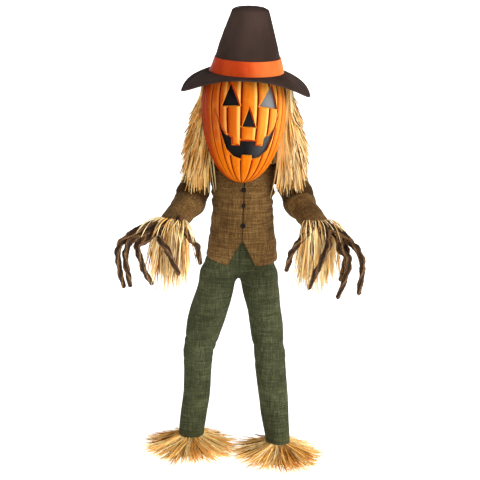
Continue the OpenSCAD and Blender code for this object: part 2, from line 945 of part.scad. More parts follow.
foot_plate(left);  // foot_plate_left
foot_plate(right);  // foot_plate_right
foot_socket(left);  // foot_socket_left
foot_socket(right);  // foot_socket_right
lower_leg_tube(left);  // lower_leg_tube_left
lower_leg_tube(right);  // lower_leg_tube_right
knee_coupler(left);  // knee_coupler_left
knee_coupler(right);  // knee_coupler_right
upper_leg_tube(left);  // upper_leg_tube_left
upper_leg_tube(right);  // upper_leg_tube_right
hip_bracket();
spine_tube();
shoulder_yoke();
neck_post();
frame_screws();
torso_padding();
leg_padding(left);  // leg_padding_left
leg_padding(right);  // leg_padding_right
jacket_body();
jacket_buttons();
trouser_seat();
trouser_leg(left);  // trouser_leg_left
trouser_leg(right);  // trouser_leg_right
ankle_straw(left);  // ankle_straw_left
ankle_straw(right);  // ankle_straw_right
upper_arm_tube(left);  // upper_arm_tube_left
upper_arm_tube(right);  // upper_arm_tube_right
upper_sleeve(left);  // upper_sleeve_left
upper_sleeve(right);  // upper_sleeve_right
elbow_pin(left);  // elbow_pin_left
elbow_pin(right);  // elbow_pin_right
forearm_tube(left);  // forearm_tube_left
forearm_tube(right);  // forearm_tube_right
lower_sleeve(left);  // lower_sleeve_left
lower_sleeve(right);  // lower_sleeve_right
palm(left);  // palm_left
palm(right);  // palm_right
finger(left, thumb_l);  // thumb_left
finger(right, thumb_r);  // thumb_right
finger(left, index_l);  // index_finger_left
finger(right, index_r);  // index_finger_right
finger(left, middle_l);  // middle_finger_left
finger(right, middle_r);  // middle_finger_right
finger(left, ring_l);  // ring_finger_left
finger(right, ring_r);  // ring_finger_right
finger(left, little_l);  // little_finger_left
finger(right, little_r);  // little_finger_right
wrist_straw(left);  // wrist_straw_left
wrist_straw(right);  // wrist_straw_right
head_hub();
head_core();
pumpkin_mask();
mask_liner();
head_hood();
hair_side(left);  // hair_left
hair_side(right);  // hair_right
hair_back();
hat_crown();
hat_brim();
hat_band();
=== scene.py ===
"""Looks of the scarecrow figure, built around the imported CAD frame.

Shapes are given in millimetres on the figure's own upright axis, and metres() places them in the
shared frame. +Z is up, the figure faces -Y, and its own left is +X.
"""

import json
import math

import bmesh
import bpy
import numpy as np
from mathutils import Matrix, Vector
from mathutils.geometry import tessellate_polygon
from mathutils.kdtree import KDTree


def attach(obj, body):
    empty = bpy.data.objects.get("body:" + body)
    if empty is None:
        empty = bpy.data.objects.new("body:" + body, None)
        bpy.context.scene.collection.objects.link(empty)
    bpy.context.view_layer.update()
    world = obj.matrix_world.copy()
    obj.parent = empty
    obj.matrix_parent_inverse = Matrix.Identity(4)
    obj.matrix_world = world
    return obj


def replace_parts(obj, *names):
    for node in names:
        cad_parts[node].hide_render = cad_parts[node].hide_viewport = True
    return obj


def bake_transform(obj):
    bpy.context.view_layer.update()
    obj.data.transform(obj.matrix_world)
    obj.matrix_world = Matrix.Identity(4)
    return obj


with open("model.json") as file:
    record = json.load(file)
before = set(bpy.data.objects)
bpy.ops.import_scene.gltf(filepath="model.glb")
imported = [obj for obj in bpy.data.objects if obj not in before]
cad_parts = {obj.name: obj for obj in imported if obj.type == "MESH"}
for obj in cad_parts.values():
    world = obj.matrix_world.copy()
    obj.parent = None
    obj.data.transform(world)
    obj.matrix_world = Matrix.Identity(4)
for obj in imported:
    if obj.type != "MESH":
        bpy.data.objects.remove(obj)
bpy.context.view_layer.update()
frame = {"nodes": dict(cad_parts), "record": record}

scene = bpy.context.scene
rng = np.random.default_rng(31)

MM = 0.001
AXIS_Y = 45.0
LEFT, RIGHT = 1, -1
SIDE_NAME = {LEFT: "left", RIGHT: "right"}


# ---------------------------------------------------------------- points and curves


def metres(points):
    """Millimetres on the figure's axis to metres in the shared frame."""
    return (np.asarray(points, float) + (0, AXIS_Y, 0)) * MM


def vec(*xyz):
    return np.array(xyz, float)


def unit(v):
    return v / np.linalg.norm(v, axis=-1, keepdims=True)


def ease(t):
    """Smooth step from 0 to 1."""
    t = np.clip(t, 0, 1)
    return t * t * (3 - 2 * t)


def bell(distance, width):
    """A bell curve: 1 at no distance, and near 0 at twice the width."""
    return np.exp(-((distance / width) ** 2))


def full_turn(count):
    """Angles evenly spaced once round."""
    return np.linspace(0, 2 * math.pi, count, endpoint=False)


def around(a):
    """Level unit vectors at angles a."""
    return np.stack([np.cos(a), np.sin(a), 0 * a], -1)


def smooth_rows(rows, steps):
    """A Catmull-Rom curve through rows of numbers, with steps points to each span."""
    rows = np.asarray(rows, float)
    padded = np.vstack([2 * rows[0] - rows[1], rows, 2 * rows[-1] - rows[-2]])
    made = []
    for i in range(len(rows) - 1):
        a, b, c, d = padded[i : i + 4]
        for t in np.arange(steps) / steps:
            made.append(
                0.5 * (2 * b + (c - a) * t + (2 * a - 5 * b + 4 * c - d) * t**2
                       + (3 * b - a - 3 * c + d) * t**3)
            )
    return np.array(made + [rows[-1]])


def distance_along(path):
    """How far along a path each of its points lies."""
    return np.concatenate([[0], np.linalg.norm(np.diff(path, axis=0), axis=1).cumsum()])


def resample(rows, spacing):
    """Rows again at an even spacing along their first three columns."""
    length = distance_along(rows[:, :3])
    at = np.linspace(0, length[-1], max(3, int(length[-1] / spacing) + 1))
    return np.column_stack([np.interp(at, length, column) for column in rows.T])


def waves(points, length, seed, count=14):
    """Smooth noise of about -1 to 1 at points: sines of about that wavelength in mixed directions."""
    mixed = np.random.default_rng(seed)
    heading = unit(mixed.normal(size=(count, 3)))
    k = heading * (2 * math.pi / (length * mixed.uniform(0.7, 1.5, (count, 1))))
    phase = mixed.uniform(0, 2 * math.pi, count)
    return np.sin(np.asarray(points) @ k.T + phase).sum(-1) / math.sqrt(count)


def turned(points, axis, degrees):
    """Points turned about X, Y or Z through the origin."""
    matrix = np.array(Matrix.Rotation(math.radians(degrees), 3, axis))
    return np.asarray(points, float) @ matrix.T


# The same places as in part.scad
HEAD_X, HEAD_YAW, HEAD_TILT, HEAD_ROLL = -10.0, 8.5, 12.0, 1.2
EGG_Y, EGG_Z = -35.0, 1205.0
MASK_R, MASK_DROP, MASK_RISE = 133.0, 248.0, 170.0
HAT_TILT, HAT_Z = 3.5, 1311.0
CROWN_BASE_R, CROWN_TOP_R, CROWN_H, FELT_T = 118.0, 61.0, 190.0, 3.0
SHOULDER_X, SHOULDER_Z = 140.0, 985.0
ELBOW = {LEFT: vec(182, 5, 896), RIGHT: vec(-163, 5, 885)}
WRIST = {LEFT: vec(234, -170, 858), RIGHT: vec(-211, -170, 846)}
HEM_Z = 62.0


def from_head(points):
    tilted = turned(turned(points, "Y", HEAD_ROLL), "X", -HEAD_TILT)
    return turned(tilted + (0, EGG_Y, EGG_Z), "Z", HEAD_YAW) + (HEAD_X, 0, 0)


def to_head(points):
    placed = turned(np.asarray(points, float) - (HEAD_X, 0, 0), "Z", -HEAD_YAW)
    return turned(turned(placed - (0, EGG_Y, EGG_Z), "X", HEAD_TILT), "Y", -HEAD_ROLL)


def from_hat(points):
    return turned(points, "X", HAT_TILT) + (0, 0, HAT_Z)


def to_hat(points):
    return turned(np.asarray(points, float) - (0, 0, HAT_Z), "X", -HAT_TILT)


# ---------------------------------------------------------------- meshes


def new_object(name, points, faces, *materials):
    """A mesh object from points in millimetres on the figure's axis."""
    mesh = bpy.data.meshes.new(name)
    mesh.from_pydata(metres(points).tolist(), [], [list(map(int, f)) for f in faces])
    mesh.update()
    for material in materials:
        mesh.materials.append(material)
    obj = bpy.data.objects.new(name, mesh)
    scene.collection.objects.link(obj)
    return obj


def grid_faces(rows, columns, closed=True, first=0):
    """Quads between rows of points; closed joins the last column to the first."""
    i = np.arange(rows - 1)[:, None] * columns + first
    j = np.arange(columns if closed else columns - 1)[None, :]
    k = (j + 1) % columns
    return np.stack([i + j, i + k, i + columns + k, i + columns + j], -1).reshape(-1, 4)


def grid_object(name, points, *materials):
    """An open sheet of quads over rows of points."""
    faces = grid_faces(*points.shape[:2], False)
    return new_object(name, points.reshape(-1, 3), faces, *materials)


def ring_faces(rows, columns):
    """Quads over rows of points that close both ways, as on a tyre."""
    faces = grid_faces(rows, columns).tolist()
    base = (rows - 1) * columns
    for j in range(columns):
        k = (j + 1) % columns
        faces.append([base + j, base + k, k, j])
    return faces


def clean(obj, sharp_degrees=None):
    """Merges doubled points, makes the normals agree, and shades it smooth but for sharp edges."""
    work = bmesh.new()
    work.from_mesh(obj.data)
    bmesh.ops.remove_doubles(work, verts=work.verts, dist=1e-6)
    bmesh.ops.recalc_face_normals(work, faces=work.faces)
    for face in work.faces:
        face.smooth = True
    if sharp_degrees:
        limit = math.radians(sharp_degrees)
        for edge in work.edges:
            edge.smooth = not (edge.is_manifold and edge.calc_face_angle(0) > limit)
    work.to_mesh(obj.data)
    work.free()
    return obj


def loft(name, rings, *materials):
    """A closed form: a skin over rings of points, with a fan of triangles at each end."""
    rings = np.asarray(rings, float)
    rows, columns = rings.shape[:2]
    points = np.vstack([rings.reshape(-1, 3), rings[0].mean(0), rings[-1].mean(0)])
    faces = grid_faces(rows, columns).tolist()
    low, high, last = rows * columns, rows * columns + 1, (rows - 1) * columns
    for j in range(columns):
        k = (j + 1) % columns
        faces.append([low, k, j])
        faces.append([high, last + j, last + k])
    return clean(new_object(name, points, faces, *materials))


def frames(path):
    """Two directions square to a path at each of its points, that turn as little as they can."""
    along = unit(np.gradient(path, axis=0))
    side = np.empty_like(path)
    side[0] = unit(np.cross(along[0], vec(0.31, 0.93, 0.2)))
    for i in range(1, len(path)):
        side[i] = unit(side[i - 1] - along[i] * (side[i - 1] @ along[i]))
    return side, np.cross(along, side)


def sweep(path, radii, sides, relief=1.0):
    """Rings of radius radii along a path; relief scales the radius at each of their points."""
    side, up = frames(path)
    angle = full_turn(sides)[None, :, None]
    r = (np.asarray(radii)[:, None] * relief * np.ones((1, sides)))[..., None]
    return path[:, None] + r * (np.cos(angle) * side[:, None] + np.sin(angle) * up[:, None])


def ovals(rows, sides):
    """Level rings from rows of centre x, centre y, z, half width, half depth."""
    rows = np.asarray(rows, float)
    a = full_turn(sides)[None, :]
    x, y, z, rx, ry = (c[:, None] for c in rows.T)
    return np.stack([x + rx * np.cos(a), y + ry * np.sin(a), z + 0 * a], -1)


def revolve(name, section, sides, place, *materials, wobble=None):
    """A closed ring or dish from a closed section of [radius, height]; points at radius 0 meet."""
    section = np.asarray(section, float)
    a = full_turn(sides)[:, None]
    r, z = section[:, 0][None], section[:, 1][None]
    points = np.stack([r * np.cos(a), r * np.sin(a), z + 0 * a], -1)
    if wobble is not None:
        points = wobble(points)
    faces = ring_faces(sides, len(section))
    return clean(new_object(name, place(points).reshape(-1, 3), faces, *materials), 40)


def applied(obj):
    """Puts the result of the object's modifiers into its mesh."""
    graph = bpy.context.evaluated_depsgraph_get()
    mesh = bpy.data.meshes.new_from_object(obj.evaluated_get(graph))
    obj.modifiers.clear()
    obj.data = mesh
    return obj


def joined(name, parts):
    """One object from several."""
    with bpy.context.temp_override(active_object=parts[0], selected_editable_objects=parts):
        bpy.ops.object.join()
    parts[0].name = parts[0].data.name = name
    return parts[0]


def remeshed(obj, voxel):
    modifier = obj.modifiers.new("remesh", "REMESH")
    modifier.mode, modifier.voxel_size, modifier.use_smooth_shade = "VOXEL", voxel * MM, True
    return applied(obj)


def subdivided(obj):
    obj.modifiers.new("subdivide", "SUBSURF").levels = 1
    return applied(obj)


def thickened(obj, t):
    """Gives a sheet of faces a thickness of t millimetres on its inner side."""
    modifier = obj.modifiers.new("thickness", "SOLIDIFY")
    modifier.thickness, modifier.offset = t * MM, -1
    return applied(obj)


def coordinates(obj):
    co = np.empty(len(obj.data.vertices) * 3)
    obj.data.vertices.foreach_get("co", co)
    return co.reshape(-1, 3)


def set_coordinates(obj, co):
    obj.data.vertices.foreach_set("co", np.asarray(co, float).ravel())
    obj.data.update()


def millimetres(obj):
    """The object's points, back in millimetres on the figure's axis."""
    return coordinates(obj) / MM - (0, AXIS_Y, 0)


def attribute(obj, name, values):
    """Stores a number or a vector for each point of a mesh, for its material to read."""
    values = np.asarray(values, np.float32)
    kind, key = ("FLOAT", "value") if values.ndim == 1 else ("FLOAT_VECTOR", "vector")
    layer = obj.data.attributes.new(name, kind, "POINT")
    layer.data.foreach_set(key, values.ravel())
    return obj


def grain(obj, along=None):
    """Stores where the cloth's threads run: Z of this vector lies along them."""
    co = coordinates(obj)
    if along is not None:
        turn = np.array(Vector(along).rotation_difference(Vector((0, 0, 1))).to_matrix())
        co = co @ turn.T
    return attribute(obj, "grain", co)


def billow(objects, growth, cap, pressure=2.0, steps=18):
    """Lets closed forms fill out and crease as cloth, each point moving at most cap millimetres.

    growth is how much more cloth there is than the form needs, as a share.
    """
    start = {}
    for obj in objects:
        start[obj] = coordinates(obj)
        settings = obj.modifiers.new("cloth", "CLOTH").settings
        settings.use_pressure, settings.uniform_pressure_force = True, pressure
        settings.effector_weights.gravity = 0
        settings.shrink_min = -growth
        settings.tension_stiffness = settings.compression_stiffness = 12
        settings.bending_stiffness = 0.6
        settings.mass = 0.25
    scene.frame_start, scene.frame_end = 1, steps
    for step in range(1, steps + 1):
        scene.frame_set(step)
    graph = bpy.context.evaluated_depsgraph_get()
    for obj in objects:
        moved = coordinates(obj.evaluated_get(graph)) - start[obj]
        far = np.linalg.norm(moved, axis=1, keepdims=True) / (cap * MM)
        obj.modifiers.clear()
        set_coordinates(obj, start[obj] + moved * np.tanh(far) / np.maximum(far, 1e-9))
    scene.frame_set(1)


# ---------------------------------------------------------------- materials


def srgb(r, g, b):
    """A colour given from 0 to 255, as the shader takes it."""
    values = [(c / 255 / 12.92) if c <= 10 else ((c / 255 + 0.055) / 1.055) ** 2.4
              for c in (r, g, b)]
    return (*values, 1)


class Shader:
    """A material under construction, around its Principled shader."""

    def __init__(self, name, **sockets):
        self.material = bpy.data.materials.new(name)
        self.material.use_nodes = True
        self.tree = self.material.node_tree
        self.main = self.tree.nodes["Principled BSDF"]
        for socket, value in sockets.items():
            self.main.inputs[socket.replace("_", " ")].default_value = value

    def node(self, kind, inputs=None, **settings):
        made = self.tree.nodes.new("ShaderNode" + kind)
        for key, value in settings.items():
            setattr(made, key, value)
        for key, value in (inputs or {}).items():
            self.put(made.inputs[key], value)
        return made.outputs

    def put(self, socket, value):
        if isinstance(value, bpy.types.NodeSocket):
            self.tree.links.new(value, socket)
        else:
            socket.default_value = value

    def read(self, name):
        """A number or vector stored on the mesh; returns the outputs Color, Vector and Fac."""
        return self.node("Attribute", attribute_name=name)

    def position(self):
        return self.node("TexCoord")["Object"]

    def stretched(self, vector, scale):
        return self.node("Mapping", {"Vector": vector, "Scale": scale})["Vector"]

    def noise(self, vector, scale, detail=2.0, roughness=0.5):
        return self.node("TexNoise", {"Vector": vector, "Scale": scale, "Detail": detail,
                                      "Roughness": roughness})[0]

    def streaks(self, vector, scale, detail=2.0, roughness=0.5):
        """Noise with a scale of its own along each axis."""
        return self.noise(self.stretched(vector, scale), 1.0, detail, roughness)

    def math(self, operation, a, b=0.0, c=0.0):
        return self.node("Math", {0: a, 1: b, 2: c}, operation=operation)[0]

    def span(self, value, low, high, to_low=0.0, to_high=1.0):
        return self.node("MapRange", {"Value": value, "From Min": low, "From Max": high,
                                      "To Min": to_low, "To Max": to_high})[0]

    def mix(self, factor, a, b):
        return self.node("Mix", {0: factor, 6: a, 7: b}, data_type="RGBA")[2]

    def ramp(self, factor, stops):
        made = self.tree.nodes.new("ShaderNodeValToRGB")
        while len(made.color_ramp.elements) < len(stops):
            made.color_ramp.elements.new(0.5)
        for element, (place, colour) in zip(made.color_ramp.elements, stops):
            element.position, element.color = place, colour
        self.put(made.inputs["Fac"], factor)
        return made.outputs["Color"]

    def colour(self, value):
        self.put(self.main.inputs["Base Color"], value)

    def rough(self, value):
        self.put(self.main.inputs["Roughness"], value)

    def bump(self, height, strength, distance):
        made = self.node("Bump", {"Height": height, "Strength": strength,
                                  "Distance": distance * MM})
        self.put(self.main.inputs["Normal"], made["Normal"])


def woven(name, dark, middle, light, coarse):
    """Plain-woven cloth with slubs along both threads; coarse is the slubs' spacing in mm."""
    s = Shader(name, Roughness=0.95, Sheen_Weight=0.02, Specular_IOR_Level=0.06)
    at = s.read("grain")["Vector"]
    per_metre = 1000 / coarse
    warp = s.streaks(at, (per_metre, per_metre, per_metre / 18), 3, 0.6)
    weft = s.streaks(at, (per_metre / 22, per_metre / 22, per_metre), 3, 0.6)
    thread = 5 * per_metre
    fine_warp = s.streaks(at, (thread, thread, thread / 9), 1)
    fine_weft = s.streaks(at, (thread / 9, thread / 9, thread), 1)
    patch = s.noise(at, 11.0, 3, 0.55)
    slub = s.math("MULTIPLY", s.math("ADD", warp, weft), 0.3)
    weave = s.math("MULTIPLY_ADD", s.math("ADD", fine_warp, fine_weft), 0.2, slub)
    tone = s.math("ADD", s.span(weave, 0.38, 0.62), s.span(patch, 0.3, 0.7, -0.16, 0.16))
    cloth = s.ramp(tone, [(0.0, dark), (0.5, middle), (1.0, light)])
    # the "seam" attribute darkens the cloth at stitching, hems and the front edge, and also as
    # painted shade on the sleeves and at the collar
    s.colour(s.mix(s.read("seam")["Fac"], cloth, dark))
    s.bump(weave, 0.9, 0.9)
    return s.material


def painted(name, base, edge, roughness):
    """Powder coat or plating: a fine orange-peel bump, slight stains and uneven gloss."""
    s = Shader(name)
    at = s.position()
    stain = s.noise(at, 14.0, 4, 0.6)
    s.colour(s.mix(s.span(stain, 0.45, 0.75), base, edge))
    s.rough(s.span(stain, 0.3, 0.7, roughness - 0.07, roughness + 0.1))
    s.bump(s.noise(at, 1800.0, 1), 0.15, 0.1)
    return s


def foam_material():
    s = Shader("foam", Roughness=0.95)
    at = s.position()
    cells = s.node("TexVoronoi", {"Vector": at, "Scale": 420.0})["Distance"]
    s.colour(s.mix(s.noise(at, 9.0, 3), srgb(214, 207, 186), srgb(196, 186, 160)))
    s.bump(cells, 0.6, 0.6)
    return s.material


def raffia_material():
    """Each strand has its own tone, with fibres along it and darker stretches."""
    s = Shader("raffia", Roughness=0.6, Specular_IOR_Level=0.15)
    tone = s.read("tone")["Vector"]
    along = s.read("along")["Vector"]
    fibre = s.streaks(along, (1600, 1600, 34), 2)
    blotch = s.noise(along, 30.0, 2)
    shade = s.math("ADD", s.span(fibre, 0.3, 0.7, 0.86, 1.1), s.span(blotch, 0.3, 0.7, -0.2, 0.08))
    s.colour(s.node("VectorMath", {0: tone, "Scale": shade}, operation="SCALE")[0])
    s.bump(fibre, 0.5, 0.4)
    return s.material


def bark_material():
    """Moulded bark: dark in the furrows, tan where paint has caught the ridges."""
    s = Shader("bark_latex", Roughness=0.6, Specular_IOR_Level=0.12)
    at = s.position()
    ridge = s.read("ridge")["Fac"]
    streak = s.streaks(s.read("grain")["Vector"], (420, 420, 50), 3, 0.6)
    rough_skin = s.noise(at, 260.0, 3, 0.6)
    tone = s.math("ADD", s.math("MULTIPLY", ridge, 0.6), s.span(streak, 0.3, 0.7, -0.18, 0.38))
    s.colour(s.ramp(tone, [(0.0, srgb(22, 14, 9)), (0.34, srgb(60, 40, 25)),
                           (0.62, srgb(112, 80, 50)), (0.95, srgb(184, 144, 98))]))
    s.bump(s.math("ADD", s.math("MULTIPLY", streak, 0.7), s.math("MULTIPLY", rough_skin, 0.5)),
           0.8, 1.2)
    return s.material


STEEL = painted("black_steel", srgb(38, 38, 40), srgb(58, 57, 56), 0.42).material
NYLON = painted("white_nylon", srgb(222, 220, 212), srgb(205, 202, 190), 0.5).material
zinc = painted("zinc_steel", srgb(168, 170, 174), srgb(139, 140, 142), 0.33)
zinc.main.inputs["Metallic"].default_value = 0.9
ZINC = zinc.material
FOAM = foam_material()
TWEED = woven("tweed", srgb(58, 38, 18), srgb(102, 75, 42), srgb(154, 120, 72), 3.0)
LINEN = woven("linen", srgb(38, 41, 26), srgb(62, 65, 43), srgb(98, 101, 72), 3.2)
RAFFIA = raffia_material()
BARK = bark_material()


# ---------------------------------------------------------------- the frame under the clothes


FINISHES = {"black_steel": STEEL, "zinc_steel": ZINC, "white_nylon": NYLON}
for row in frame["record"]["subparts"]:
    if row["material_slot"] in FINISHES:
        made_of = frame["nodes"][row["node"]].data.materials
        made_of.clear()
        made_of.append(FINISHES[row["material_slot"]])


def foam_piece(name, rows, *nodes):
    """Stuffing: a lofted form with a slightly lumpy surface."""
    rings = ovals(smooth_rows(rows, 6), 64)
    centre = rings.mean(1, keepdims=True)
    rings = centre + (rings - centre) * (0.985 + 0.012 * waves(rings, 70, 5))[..., None]
    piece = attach(loft(name, rings, FOAM), "frame")
    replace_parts(piece, *nodes)


foam_piece("torso_foam", [
    [0, 0, 668, 96, 56], [0, 0, 690, 97, 64], [0, 0, 768, 90, 62], [0, 0, 790, 92, 74],
    [0, 0, 915, 94, 75], [0, 0, 955, 94, 58], [0, 0, 985, 94, 40], [0, 0, 996, 86, 30],
], "torso_padding")

# ---------------------------------------------------------------- trousers

# How far each foot stands in front of the axis or behind it
STRIDE = 20.0
# Rows of centre x, half width and height up each leg
LEG = {
    RIGHT: [[-144, 43, 50], [-142, 43, 80], [-135.5, 44.5, 146], [-128.5, 45.5, 212],
            [-126.5, 45, 300], [-123.5, 48, 365], [-116.5, 52, 406], [-102.5, 60, 470],
            [-87, 62, 535], [-72.5, 62, 598], [-66.5, 64.5, 622], [-64, 62.5, 645],
            [-57, 61, 662], [-50, 58, 685]],
    LEFT: [[156.5, 41.5, 50], [153.5, 42.5, 80], [142, 46.5, 146], [134.5, 48.5, 212],
           [122, 50, 300], [114.5, 50.5, 365], [105, 51.5, 406], [96.5, 55.5, 470],
           [85, 57.5, 535], [72.5, 61, 598], [67, 64, 622], [65, 62.5, 645],
           [59, 61, 662], [51, 58, 685]],
}


def leg_levels(s, inset=0.0):
    """Rows of centre x, centre y, z, half width and half depth, inset from the cloth."""
    x, half, z = np.array(LEG[s], float).T
    stride = -s * STRIDE * (1 - ease((z - HEM_Z) / 300))
    return np.column_stack([x, stride, z, half - inset, half * 1.03 - inset])


for s in (LEFT, RIGHT):
    foam_piece(f"leg_foam_{SIDE_NAME[s]}", leg_levels(s, 9.0)[1:-4], f"leg_padding_{SIDE_NAME[s]}")


def leg_form(s):
    """Rings of a trouser leg with its folds and creases."""
    rings = ovals(smooth_rows(leg_levels(s), 12), 84)
    centre = rings.mean(1, keepdims=True)
    z = rings[..., 2]
    out = unit(rings - centre)
    # soft upright folds, slanting ones down from the crotch, and creases across the knee
    fold = 2.0 * waves(rings * (1, 1, 0.22), 62, 21 + s)
    slanted = rings + (0, 0, 1) * (0.9 * s * rings[..., :1])
    fold = fold + 2.6 * waves(slanted * (0.25, 0.25, 1), 74, 23 + s) * ease((z - 380) / 160)
    crease = 2.4 * bell(z - 372, 62) * waves(rings * (0.5, 0.5, 1.5), 38, 26 + s)
    seam = -1.6 * bell(out[..., 1], 0.035)
    low = 1 - ease((z - 600) / 60)
    return rings + out * ((fold + crease + seam) * low)[..., None]


def trousers():
    """Two legs and a seat, remeshed into one skin."""
    legs = [loft("leg", leg_form(s)) for s in (LEFT, RIGHT)]
    seat = loft("seat", ovals(smooth_rows([
        [1, 0, 634, 1, 20], [1, 0, 646, 7, 48], [1, 0, 656, 44, 64], [1, 0, 664, 96, 69],
        [1, 0, 676, 114, 72], [2, 0, 700, 108, 74], [0, 0, 765, 98, 70],
    ], 6), 84))
    obj = remeshed(joined("trousers", legs + [seat]), 5.5)
    obj.data.materials.append(LINEN)
    return obj


TROUSERS = trousers()


# ---------------------------------------------------------------- sleeves


CUFF_SLANT, CUFF_PAST_WRIST, ELBOW_BACK = 15.0, 14.0, 22.0


def arm_direction(s):
    return unit(WRIST[s] - ELBOW[s])


def arm_axes(s):
    """Directions along the forearm, level across it, and up from it."""
    along = arm_direction(s)
    across = unit(np.cross(along, vec(0, 0, 1)))
    return along, across, np.cross(across, along)


def upper_sleeve(s):
    """The stuffed upper sleeve ends in a roll that hangs over the forearm."""
    elbow = ELBOW[s]
    drop = elbow - vec(s * SHOULDER_X, 0, SHOULDER_Z)
    # out, back, up and radius of the roll's rings, from the elbow
    roll = [[-2, -12, 24, 51], [1, -17, 12, 51], [3, -20, 3, 45], [4, -22, -3, 28]]
    rows = [
        [s * 99, 0, 975, 30], [s * 112, 4, 977, 34], [s * 130, 4, 976, 38], [s * 145, 2, 966, 42],
        [*(elbow - drop * 0.45 + (0, -5, 0)), 46.5],
        *[[*(elbow + (s * x, y, z)), radius] for x, y, z, radius in roll],
    ]
    rows = resample(smooth_rows(rows, 8), 4.5)
    rings = sweep(rows[:, :3], rows[:, 3], 72)
    centre = rings.mean(1, keepdims=True)
    ruck = 1.8 * waves(rings * (0.7, 0.7, 1.6), 40, 41 + s) + 1.2 * waves(rings, 85, 44 + s)
    rings = rings + unit(rings - centre) * ruck[..., None]
    return loft(f"sleeve_upper_{SIDE_NAME[s]}", rings, TWEED)


def lower_sleeve(s):
    """A stuffed elbow and a tube that flattens towards the cuff, whose end is turned in."""
    ahead, side, up = arm_axes(s)
    start = ELBOW[s] - ahead * ELBOW_BACK
    length = np.linalg.norm(WRIST[s] - start) + CUFF_PAST_WRIST
    t = np.linspace(0, 1, 46)[:, None]
    a = full_turn(72)[None, :]
    round_arm = np.cos(a)[..., None] * side + np.sin(a)[..., None] * up
    folds = slanting_folds(start + ahead * length * t[..., None] + 46 * round_arm, ahead, side, s)
    stitch = 1.1 * bell(t - 0.9, 0.012)
    puff = folds * np.sin(np.pi * ease(0.08 + 0.92 * t)) - stitch
    width = 26 + 26 * np.sqrt(ease(5 * t)) - 4 * ease(3 * t - 0.6)
    across = (width + puff) * np.cos(a)
    upward = (width - 23 * ease(t * 1.1 - 0.1) + puff) * np.sin(a)
    along = length * t + CUFF_SLANT * np.sin(a) * t**2
    rings = [start + along[..., None] * ahead + across[..., None] * side + upward[..., None] * up]
    for share, back in ((0.98, -1.2), (0.94, 0), (0.9, 12), (0.88, 24)):
        centre = rings[0][-1:].mean(1, keepdims=True)
        rings.append(centre + (rings[0][-1:] - centre) * share - ahead * back)
    return loft(f"sleeve_lower_{SIDE_NAME[s]}", np.concatenate(rings), TWEED)


def slanting_folds(points, ahead, side, s):
    """Heights of the folds that run slantwise round the forearm, with sharp crests."""
    slant = points + ahead * (0.7 * s * ((points - ELBOW[s]) @ side))[..., None]
    along = (slant @ ahead)[..., None] * ahead
    crest = 1 - np.abs(waves(along + 0.3 * (points - along), 64, 52 + s))
    return 5.0 * np.clip(crest, -0.3, 1) - 3.0 + 1.2 * waves(points, 45, 57 + s)


def point_tree(points):
    """A search tree that finds the nearest of the points."""
    tree = KDTree(len(points))
    for i, point in enumerate(points):
        tree.insert(point, i)
    tree.balance()
    return tree


def closeness(obj, other, reach):
    """How near each of the object's points is to another piece, from 0 to 1."""
    tree = point_tree(coordinates(other))
    gap = np.array([tree.find(point)[2] for point in coordinates(obj)]) / MM
    return bell(gap, reach)


UPPER_SLEEVE = {s: upper_sleeve(s) for s in (LEFT, RIGHT)}
LOWER_SLEEVE = {s: lower_sleeve(s) for s in (LEFT, RIGHT)}

billow([TROUSERS], growth=0.03, cap=5)
billow([*UPPER_SLEEVE.values(), *LOWER_SLEEVE.values()], growth=0.04, cap=4)

grain(subdivided(TROUSERS))
x, y, z = millimetres(TROUSERS).T
fly = bell(x - 2, 2.2) * (y < 0) * (z > 640)
hem = bell(z - LEG[LEFT][0][2] - 16, 1.6)
attribute(TROUSERS, "seam", np.clip(0.7 * fly + 0.4 * hem, 0, 1))
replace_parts(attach(TROUSERS, "frame"), "trouser_seat", "trouser_leg_left",
                    "trouser_leg_right")
for s in (LEFT, RIGHT):
    side_name = SIDE_NAME[s]
    upper, lower = grain(UPPER_SLEEVE[s]), grain(LOWER_SLEEVE[s], arm_direction(s))
    # painted shade: the upper sleeve is darkened all over for the hair's shadow on it, and both parts
    # darken further where they meet, for the shade in the elbow crease
    attribute(upper, "seam", np.clip(0.62 + closeness(upper, lower, 9.0), 0, 0.97))
    attribute(lower, "seam", 0.9 * closeness(lower, upper, 8.0))
    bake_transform(upper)
    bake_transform(lower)
    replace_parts(upper, f"upper_sleeve_{side_name}")
    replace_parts(lower, f"lower_sleeve_{side_name}")


# ---------------------------------------------------------------- jacket

FRONT_X = 8.0
PLACKET_Z, JACKET_HEM_Z = 770.0, 680.0
# The strip's length round the body, how far its ends lap, the stitching beside the front, the
# cloth's thickness, and half the width at the hem of the upside-down V
GIRTH, LAP, STITCH_X, JACKET_T, V_HALF = 560.0, 26.0, 15.0, 3.2, 47.0
JACKET_ROWS = [
    [6, 0, 680, 116, 88], [7, 0, 712, 115, 88], [7, 0, 740, 112, 87], [6, 0, 800, 104, 87],
    [5, 0, 848, 100, 87], [3, 0, 915, 102, 84], [1, 0, 955, 104, 68], [0, 0, 985, 105, 50],
    [0, 0, 1006, 100, 39], [0, 0, 1017, 80, 34], [0, 0, 1018, 34, 30],
]


